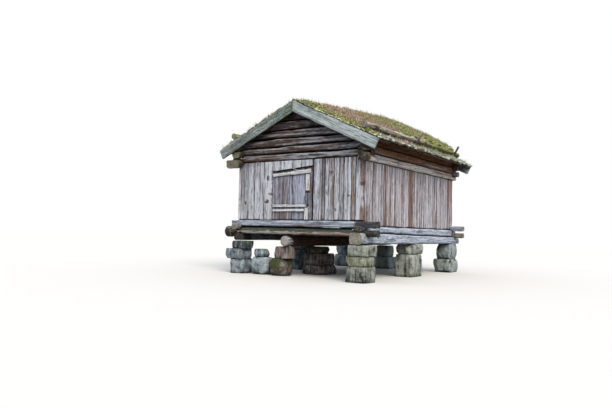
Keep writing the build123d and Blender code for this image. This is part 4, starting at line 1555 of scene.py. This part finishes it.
@dataclass(frozen=True)
class StonePiers:
    """Dry stacks of field stones, one rough stone for each solid of the frame."""

    shop: Workshop
    nodes: tuple[str, ...] = (
        "pier_front_right",
        "pier_front_left",
        "pier_front_middle",
        "boulder_front",
        "pier_side_right",
        "pier_side_left",
        "pier_rear_right",
        "pier_rear_left",
        "pier_centre",
        "pier_rear_middle",
    )
    # How many corners are broken off a boulder and off a block, and how much of the stone's reach stays there
    boulder_cuts: tuple[int, float, float] = (4, 0.84, 0.94)
    block_cuts: tuple[int, float, float] = (5, 0.86, 0.96)
    # The stones' tones from the ground up, where the photograph shows them
    tones: tuple[tuple[str, tuple[Tone, ...]], ...] = (
        ("pier_front_right", (Tone(0.55, -0.3, 0.15), Tone(0.55, 0.7, 0.2), Tone(0.85, 0.4, 0.1))),
        ("pier_front_left", (Tone(0.75, 0.25, 0.1), Tone(0.5, 0.35, 0.3), Tone(0.2, 0.2, 0.5))),
        ("pier_front_middle", (Tone(0.4, 0.3, 0.75), Tone(0.6, 0.4, 0.0))),
        ("boulder_front", (Tone(0.8, 0.4, 0.2), Tone(0.6, 0.1, 0.1))),
        ("pier_side_right", (Tone(0.75, -0.3, 0.05), Tone(0.85, 0.2, 0.1))),
        ("pier_centre", (Tone(0.3, 0.2, 0.1), Tone(0.5, 0.2, 0.0), Tone(0.4, 0.2, 0.7))),
    )

    def stone(self, solid: bpy.types.Object, boulder: bool, chance: random.Random) -> None:
        """Turns one plain stone of the frame into a rough one: broken corners, hollows and flat beds.

        Args:
            solid: The plain stone, which is changed.
            boulder: True for a rounded stone, False for a split block.
            chance: The source of its shape.
        """
        low, high = corners(solid).min(0), corners(solid).max(0)
        middle, size = Vector((low + high) / 2), float((high - low).mean())
        with editing(solid):
            cuts, least, most = self.boulder_cuts if boulder else self.block_cuts
            for _ in range(cuts):
                steep = (chance.uniform(-1, 1), chance.uniform(-1, 1), chance.uniform(-0.6, 0.6))
                way = Vector(steep).normalized()
                reach = max((v.co - middle).dot(way) for v in bmesh.from_edit_mesh(solid.data).verts)
                place = middle + way * reach * chance.uniform(least, most)
                bpy.ops.mesh.select_all(action="SELECT")
                bpy.ops.mesh.bisect(plane_co=place, plane_no=way, use_fill=True, clear_outer=True)
        apply_modifier(solid, "REMESH", mode="VOXEL", voxel_size=max(0.012, size * 0.03), adaptivity=0.0)
        seed = chance.randrange(500)
        roughen(solid, size * 0.35, size * (0.1 if boulder else 0.06), middle=0.7, seed=seed)
        roughen(solid, size * 0.12, size * 0.035, seed=seed + 1, stretch=(1.5, 1.5, 1.0), middle=0.6)
        roughen(solid, 0.035, 0.012, seed=seed + 2)
        thin_out(solid, 0.45)
        places = corners(solid)
        foot, top = places[:, 2].min(), places[:, 2].max()
        share = np.clip(((places[:, 2] - foot) / (top - foot) - 0.03) / 0.93, 0.0, 1.0)
        places[:, 2] = low[2] + share * (high[2] - low[2])
        move_corners(solid, np.clip(places, low, high))

    def build(self) -> None:
        """Models every pier."""
        known = dict(self.tones)
        shop = self.shop
        finishes = {"pier_front_right": shop.green_stone, "pier_side_right": shop.green_stone}
        finishes |= {"pier_front_middle": shop.rosy_stone, "pier_centre": shop.rosy_stone}
        for node in self.nodes:
            chance = random.Random(node)
            solids = loose_parts(free_copy(node, "solid"))
            solids.sort(key=lambda solid: corners(solid)[:, 2].min())
            own = known.get(node) or tuple(
                Tone(chance.uniform(0.35, 0.75), chance.uniform(0.1, 0.9), chance.uniform(0.0, 0.5))
                for _ in solids
            )
            tones = {}
            for number, solid in enumerate(solids):
                lowest = number == 0 and node in ("pier_front_left", "pier_front_middle", "boulder_front")
                self.stone(solid, lowest, chance)
                places = corners(solid)
                tones[tuple((places.min(0) + places.max(0)) / 2)] = own[number]
            piece = join(solids, f"{node}_stones")

            def tone_at(place: Vector) -> Tone:
                """Finds the tone of the stone at a place.

                Args:
                    place: A stone's centre.

                Returns:
                    Its tone.
                """
                return tones[min(tones, key=lambda centre: (Vector(centre) - place).length)]

            mark_members(piece, Axis.Z, tone_at, chance)
            finish_piece(piece, "hut", [node], [finishes.get(node, shop.blue_stone)], smooth=38.0)


@dataclass(frozen=True)
class Roof:
    """Deck boards, turf, verge boards and pegs."""

    shop: Workshop
    pitch_deg: float = 25.0
    apex: float = 4.5336
    deck: float = 0.04
    run: float = 2.784
    half_length: float = 3.1897
    turf_cell: float = 0.031
    # How many tufts, cushions, heath plants and hanging strands grow on a square metre
    tufts: float = 300.0
    cushions: float = 65.0
    heath: float = 30.0
    strands: float = 900.0
    # Tufts keep inside these distances from the middle, and strands hang outside the last one
    tuft_reach_y: float = 3.16
    tuft_reach_x: float = 2.54
    strand_from_x: float = 2.48
    # Above this height a peg shows: it is longer there than its solid, by this share, and leans by this slope
    peg_bare_from: float = 0.16
    peg_growth: float = 0.55
    peg_lean: float = 0.3

    def turn(self, piece: bpy.types.Object, side: int, lift: float) -> None:
        """Tilts a piece that was laid flat to the right of the ridge, and mirrors it for the left slope.

        Args:
            piece: The piece, with x as its distance down the slope.
            side: 1 for the right slope, -1 for the left one.
            lift: Height of the ridge line above the ground.
        """
        places = corners(piece)
        angle = math.radians(self.pitch_deg)
        along, above = places[:, 0].copy(), places[:, 2].copy()
        places[:, 0] = side * (along * math.cos(angle) + above * math.sin(angle))
        places[:, 2] = lift - along * math.sin(angle) + above * math.cos(angle)
        move_corners(piece, places)
        if side < 0:
            with editing(piece):
                bpy.ops.mesh.flip_normals()

    def deck_boards(self, side: int, chance: random.Random) -> None:
        """Lays the boards that run down one slope, with uneven lower ends.

        Args:
            side: 1 for the right slope, -1 for the left one.
            chance: The source of their widths.
        """
        name = "right" if side > 0 else "left"
        boards, start = [], -self.half_length
        while start < self.half_length - 0.05:
            end = min(start + chance.uniform(0.13, 0.2), self.half_length)
            if self.half_length - end < 0.08:
                end = self.half_length
            short = chance.uniform(0.0, 0.045)
            boards.append(
                Board(
                    (0.02, start + 0.002, 0.0),
                    (self.run - short, end - 0.002, self.deck - chance.uniform(0.0, 0.006)),
                    Tone(chance.uniform(0.25, 0.8), chance.uniform(0.3, 0.9), 0.0),
                )
            )
            start = end
        piece = lay_boards(f"roof_boards_{name}_laid", boards, Axis.X, chance, cell=0.5, edge=0.005)
        self.turn(piece, side, self.apex)
        finish_piece(piece, "hut", [f"roof_boards_{name}"], [self.shop.roof_board])

    def turf_layer(self, side: int, tuft: bpy.types.Object, cushion: bpy.types.Object) -> None:
        """Models one slope's turf from the shape that the frame gives it, and plants it.

        Args:
            side: 1 for the right slope, -1 for the left one.
            tuft: The tuft that grows on it.
            cushion: The cushion of moss that grows on it.
        """
        name = "right" if side > 0 else "left"
        piece = free_copy(f"turf_{name}", f"turf_{name}_moss")
        apply_modifier(piece, "REMESH", mode="VOXEL", voxel_size=self.turf_cell, adaptivity=0.0)
        apply_modifier(piece, "SMOOTH", factor=0.6, iterations=6)
        roughen(piece, 0.34, 0.10, middle=0.75, seed=3 + side)
        roughen(piece, 0.12, 0.09, middle=0.6, seed=8 + side)
        roughen(piece, 0.05, 0.03, seed=14 + side)
        thin_out(piece, 0.5)
        low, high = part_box(f"turf_{name}")
        keep_within(piece, low, high)

        def on_top(places: np.ndarray, normals: np.ndarray) -> np.ndarray:
            """Lets tufts grow on what looks up, away from the ridge's other side and the gables' edges.

            Args:
                places: The turf's vertices.
                normals: Their normals.

            Returns:
                The share of the tufts that grow at each vertex.
            """
            x, y, _ = np.abs(places).T
            inside = (y < self.tuft_reach_y) & (x < self.tuft_reach_x)
            return np.where(inside, np.clip(normals[:, 2] * 1.6 - 0.5, 0.0, 1.0), 0.0)

        def on_eave(places: np.ndarray, normals: np.ndarray) -> np.ndarray:
            """Lets strands hang from the turf's outer edge.

            Args:
                places: The turf's vertices.
                normals: Their normals.

            Returns:
                The share of the strands that hang at each vertex.
            """
            foot = places[:, 2] < places[np.abs(places[:, 0]) > 2.5, 2].min() + 0.07
            thick = np.where((places[:, 1] > -2.6) & (places[:, 1] < -0.6), 1.0, 0.25)
            outer = np.abs(places[:, 0]) > self.strand_from_x
            return ((normals[:, 0] * side > 0.3) & outer & foot) * thick

        up = ((-0.5, -0.5, 0.0), (0.5, 0.5, 6.3))
        down = ((math.pi - 0.4, -0.4, 0.0), (math.pi + 0.4, 0.4, 6.3))
        # Each growth's name, shape, number on a square metre, place, tilt, sizes, seed and finish
        growths = (
            ("tufts", tuft, self.tufts, on_top, up, (0.45, 1.3), 5, self.shop.turf),
            ("cushions", cushion, self.cushions, on_top, up, (0.5, 1.7), 25, self.shop.turf),
            ("heath", tuft, self.heath, on_top, up, (1.3, 1.9), 15, self.shop.turf),
            ("fringe", tuft, self.strands, on_eave, down, (0.7, 1.6), 9, self.shop.roots),
        )
        layers = [(piece, [f"turf_{name}"], self.shop.turf)]
        for kind, shape, number, growth, tilt, sizes, seed, finish in growths:
            grown = plant(piece, shape, f"turf_{name}_{kind}", number, growth, tilt, sizes, seed + side)
            layers.append((grown, [], finish))
        for part, nodes, finish in layers:
            finish_piece(part, "hut", nodes, [finish], smooth=180.0)

    def verges(self) -> None:
        """Models the verge boards of both gables, mitred at the ridge."""
        for end, nodename in ((-1, "verge_boards_front"), (1, "verge_boards_rear")):
            low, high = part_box(nodename)
            halves = []
            for side in (1, -1):
                chance = random.Random(31 * end + side)
                moss, middle = (0.0, 0.9) if side > 0 else (0.2, 0.8)
                board = Board((-0.2, low.y, -0.21), (2.755, high.y, 0.06), Tone(0.6, 0.1, moss))
                half = lay_boards("verge", [board], Axis.X, chance, cell=0.04, edge=0.004)
                roughen(half, 0.16, 0.016, "Z", (4.0, 1.0, 1.0), middle=middle, seed=side + 40)
                roughen(half, 0.09, 0.007, "Y", (5.0, 1.0, 1.0), seed=side + 44)
                self.turn(half, side, self.apex)
                joint, inwards = (side * 0.001, 0.0, 0.0), (-side, 0.0, 0.0)
                with editing(half):
                    bpy.ops.mesh.bisect(plane_co=joint, plane_no=inwards, use_fill=True, clear_outer=True)
                halves.append(half)
            piece = join(halves, f"{nodename}_worn")
            keep_within(piece, low, high)
            centres = np.zeros(len(piece.data.polygons) * 3, np.float32)
            piece.data.polygons.foreach_get("center", centres)
            on_left = centres.reshape(-1, 3)[:, 0] < 0.0
            piece.data.polygons.foreach_set("material_index", on_left.astype(np.int32))
            retone(piece, self.stain_apex)
            finish_piece(piece, "hut", [nodename], [self.shop.verge, self.shop.speckled])

    def stain_apex(self, places: np.ndarray, member: np.ndarray) -> None:
        """Greens the verge boards at their joint under the ridge.

        Args:
            places: The vertices' places.
            member: Their tones, which are changed.
        """
        member[:, 3] += 0.75 * np.clip(1.0 - np.abs(places[:, 0]) / 0.12, 0.0, 1.0)

    def bark(self) -> None:
        """Lays the ends of the bark sheets that show between the verge boards and the turf."""
        chance = random.Random(47)
        low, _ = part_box("verge_boards_front")
        sheets = []
        for side in (1, -1):
            strips, start = [], 0.35
            while start < 2.5:
                end = min(start + chance.uniform(0.18, 0.42), 2.62)
                tuck = chance.uniform(-0.014, 0.012)
                strips.append(Board((start, low.y + tuck, 0.063), (end, low.y + 0.13, 0.073), Tone()))
                start = end + chance.uniform(0.02, 0.3)
            sheet = lay_boards("bark", strips, Axis.X, chance, cell=0.03, edge=0.002)
            roughen(sheet, 0.09, 0.045, "Z", middle=0.2, seed=90 + side)
            roughen(sheet, 0.05, 0.03, "Y", middle=0.2, seed=93 + side)
            self.turn(sheet, side, self.apex)
            sheets.append(sheet)
        finish_piece(join(sheets, "bark_sheets"), "hut", [], [self.shop.bark])

    def pegs(self) -> None:
        """Dresses the pegs outside the turf logs, whittled and a little crooked."""
        piece = free_copy("turf_pegs", "turf_pegs_whittled")
        apply_modifier(piece, "REMESH", mode="VOXEL", voxel_size=0.007, adaptivity=0.0)
        roughen(piece, 0.12, 0.02, seed=61)
        thin_out(piece, 0.3)
        roughen(piece, 5.0, 0.012, middle=-0.2, seed=62)
        self.stretch_pegs(piece)
        mark_members(piece, Axis.Z, lambda place: Tone(0.35, 0.2, 0.0), random.Random(5))
        finish_piece(piece, "hut", ["turf_pegs"], [self.shop.brown_log])

    def stretch_pegs(self, piece: bpy.types.Object) -> None:
        """Lets each peg stand higher over its log and lean back a little.

        Args:
            piece: The pegs.
        """
        places = corners(piece)
        label = islands(piece)
        angle = math.radians(self.pitch_deg)
        for number in range(int(label.max()) + 1):
            own = places[label == number]
            side = 1.0 if own[:, 0].mean() > 0 else -1.0
            axis = np.array((side * math.sin(angle), 0.0, math.cos(angle)))
            above = own @ axis - (own @ axis).min()
            grown = np.clip(above - self.peg_bare_from, 0.0, None)
            own += np.outer(grown * self.peg_growth, axis) + np.outer(grown * self.peg_lean, (0.0, 1.0, 0.0))
            places[label == number] = own
        move_corners(piece, places)

    def build(self) -> None:
        """Models both slopes."""
        chance = random.Random(51)
        tuft = tuft_shape(5, 0.085, 0.05, chance)
        cushion = cushion_shape(0.045, 0.6, 7)
        for side in (1, -1):
            self.deck_boards(side, chance)
            self.turf_layer(side, tuft, cushion)
        bpy.data.objects.remove(tuft)
        bpy.data.objects.remove(cushion)
        self.verges()
        self.bark()
        self.pegs()


@dataclass(frozen=True)
class Door:
    """The plank door with its battens and strips, the stile that it turns on and the boards over it."""

    shop: Workshop
    joints: tuple[float, ...] = (-0.792, -0.542, -0.139, 0.273, 0.497)
    head_joints: tuple[float, ...] = (-0.8, -0.538, -0.129, 0.147, 0.505)
    gap: float = 0.01
    # The doorway's two edges, and the heights there of the leaf's top and of the head boards' foot
    edges: tuple[float, float] = (-0.8, 0.505)
    leaf_top: tuple[float, float] = (2.752, 2.865)
    head_foot: tuple[float, float] = (2.79, 2.9)
    lock_slot: Board = Board((0.3, -3.1, 2.197), (0.43, -2.9, 2.223))
    keyhole: Board = Board((0.337, -3.1, 1.857), (0.393, -2.9, 1.903))

    def trim(self, piece: bpy.types.Object, heights: tuple[float, float], keep_below: bool) -> None:
        """Cuts boards along a line that slopes across the doorway.

        Args:
            piece: The boards.
            heights: The line's heights at the doorway's two edges.
            keep_below: True to keep what lies below the line.
        """
        way = Vector((heights[0] - heights[1], 0.0, self.edges[1] - self.edges[0])).normalized()
        with editing(piece):
            bpy.ops.mesh.bisect(
                plane_co=(self.edges[0], 0.0, heights[0]),
                plane_no=way if keep_below else -way,
                use_fill=True,
                clear_outer=True,
            )

    def boards(
        self, node: str, name: str, joints: Sequence[float], tones: Sequence[Tone], seed: int
    ) -> bpy.types.Object:
        """Lays the upright boards of one node side by side.

        Args:
            node: The CAD node that gives the room.
            name: The new object's name.
            joints: Where the boards meet.
            tones: The boards' tones.
            seed: Makes their wear their own.

        Returns:
            The boards.
        """
        chance = random.Random(seed)
        low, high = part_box(node)
        laid = []
        for start, end, tone in zip(joints, joints[1:], tones):
            front = low.y + chance.uniform(0.0, 0.009)
            foot = low.z + chance.uniform(0.0, 0.012)
            near, far = start + self.gap / 2, end - self.gap / 2
            laid.append(Board((near, front, foot), (far, high.y, high.z), tone))
        piece = lay_boards(name, laid, Axis.Z, chance, edge=0.005)
        roughen(piece, 0.05, 0.01, "Y", (1.0, 1.0, 9.0), middle=0.2, seed=seed)
        roughen(piece, 0.08, 0.014, "X", (1.0, 1.0, 5.0), seed=seed + 1)
        keep_within(piece, low, high)
        return piece

    def pierce(self, piece: bpy.types.Object, hole: Board) -> None:
        """Cuts a hole through the leaf.

        Args:
            piece: The leaf.
            hole: The room that the hole takes.
        """
        cutter = blank("cutter")
        with editing(cutter):
            bpy.ops.mesh.primitive_cube_add(size=1.0, location=hole.middle, scale=hole.extent)
        apply_modifier(piece, "BOOLEAN", operation="DIFFERENCE", solver="EXACT", object=cutter)
        bpy.data.objects.remove(cutter)

    def stain_and_shade_leaf(self, places: np.ndarray, member: np.ndarray) -> None:
        """Browns the leaf below its battens, darkens it round the lock, and paints the head boards' shadow along its
        top.

        Args:
            places: The vertices' places.
            member: Their tones, which are changed.
        """
        x, _, z = places.T
        member[z < 1.7, 2] += 0.2
        lock = (x > 0.29) & (z > 1.8) & (z < 2.3)
        member[lock, 1] -= 0.25
        # Painted shadow: a strip below the leaf's top darkens, as in the shade of the head boards
        slope = (self.leaf_top[1] - self.leaf_top[0]) / (self.edges[1] - self.edges[0])
        below_top = self.leaf_top[0] + (x - self.edges[0]) * slope - z
        member[:, 1] -= 1.0 * np.clip((0.11 - below_top) / 0.08, 0.0, 1.0)

    def build(self) -> None:
        """Models the leaf, the battens, the stile and the boards over the door."""
        tones = (Tone(0.5, 0.3), Tone(0.55, 0.3), Tone(0.75, 0.1), Tone(0.45, 0.2))
        leaf = self.boards("door_leaf", "door_planks", self.joints, tones, 71)
        self.trim(leaf, self.leaf_top, True)
        for hole in (self.lock_slot, self.keyhole):
            self.pierce(leaf, hole)
        retone(leaf, self.stain_and_shade_leaf)
        finish_piece(leaf, "door", ["door_leaf"], [self.shop.door])
        head_tones = (Tone(0.9, 0.05, 0.1), Tone(0.95, 0.0), Tone(0.85, 0.1), Tone(0.8, 0.1))
        head = self.boards("door_head_boards", "door_head_planks", self.head_joints, head_tones, 74)
        self.trim(head, self.head_foot, False)
        finish_piece(head, "hut", ["door_head_boards"], [self.shop.plank])
        chance = random.Random(77)
        parts = loose_parts(free_copy("door_battens", "door_battens_worn"))
        for number, part in enumerate(parts):
            apply_modifier(part, "REMESH", mode="VOXEL", voxel_size=0.009, adaptivity=0.0)
            roughen(part, 0.06, 0.02, stretch=(3.0, 1.0, 3.0), middle=0.85, seed=80 + number)
            thin_out(part, 0.4)
            grain = Axis(int(np.argmax(corners(part).max(0) - corners(part).min(0))))
            mark_members(part, grain, lambda place: Tone(chance.uniform(0.8, 1.2), 0.0, 0.05), chance)
        battens = join(parts, "door_battens_worn")
        finish_piece(battens, "door", ["door_battens"], [self.shop.lath])
        stile = free_copy("door_stile", "door_stile_turned")
        mark_members(stile, Axis.Z, lambda place: Tone(0.5, 0.4, 0.0), chance)
        finish_piece(stile, "door", ["door_stile"], [self.shop.door])


@dataclass(frozen=True)
class Floor:
    """The floor boards inside."""

    shop: Workshop

    def build(self) -> None:
        """Lays the boards from front to back."""
        chance = random.Random(91)
        low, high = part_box("floor")
        boards, start = [], low.x
        while start < high.x - 0.05:
            end = min(start + chance.uniform(0.16, 0.24), high.x)
            if high.x - end < 0.1:
                end = high.x
            top = high.z - chance.uniform(0.0, 0.004)
            tone = Tone(chance.uniform(0.3, 0.6), chance.uniform(0.3, 0.7))
            boards.append(Board((start + 0.002, low.y, low.z), (end - 0.002, high.y, top), tone))
            start = end
        piece = lay_boards("floor_boards", boards, Axis.Y, chance, cell=1.0, edge=0.004)
        finish_piece(piece, "hut", ["floor"], [self.shop.roof_board])


def main() -> None:
    """Builds the hut, its stage and the camera."""
    logging.basicConfig(level=logging.INFO, format="%(message)s")
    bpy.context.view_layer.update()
    Viewpoint().place()
    Studio().build()
    finishes = (
        SILVER_PLANK, ROSY_PLANK, DOOR_PLANK, PALE_LATH, BROWN_LOG, GREY_LOG, MOSSY_LOG, EAVE_LOG, TURF_LOG,
        VERGE_BOARD, SPECKLED_BOARD, ROOF_BOARD, LOG_END, BOARD_END, GREEN_STONE, BLUE_STONE, ROSY_STONE, TURF,
        TURF_ROOTS, BIRCH_BARK,
    )  # fmt: skip
    shop = Workshop(*(finish.material() for finish in finishes))
    for part in (PlankWalls, LogWork, StonePiers, Roof, Door, Floor):
        part(shop).build()


if __name__ == "__main__":
    main()
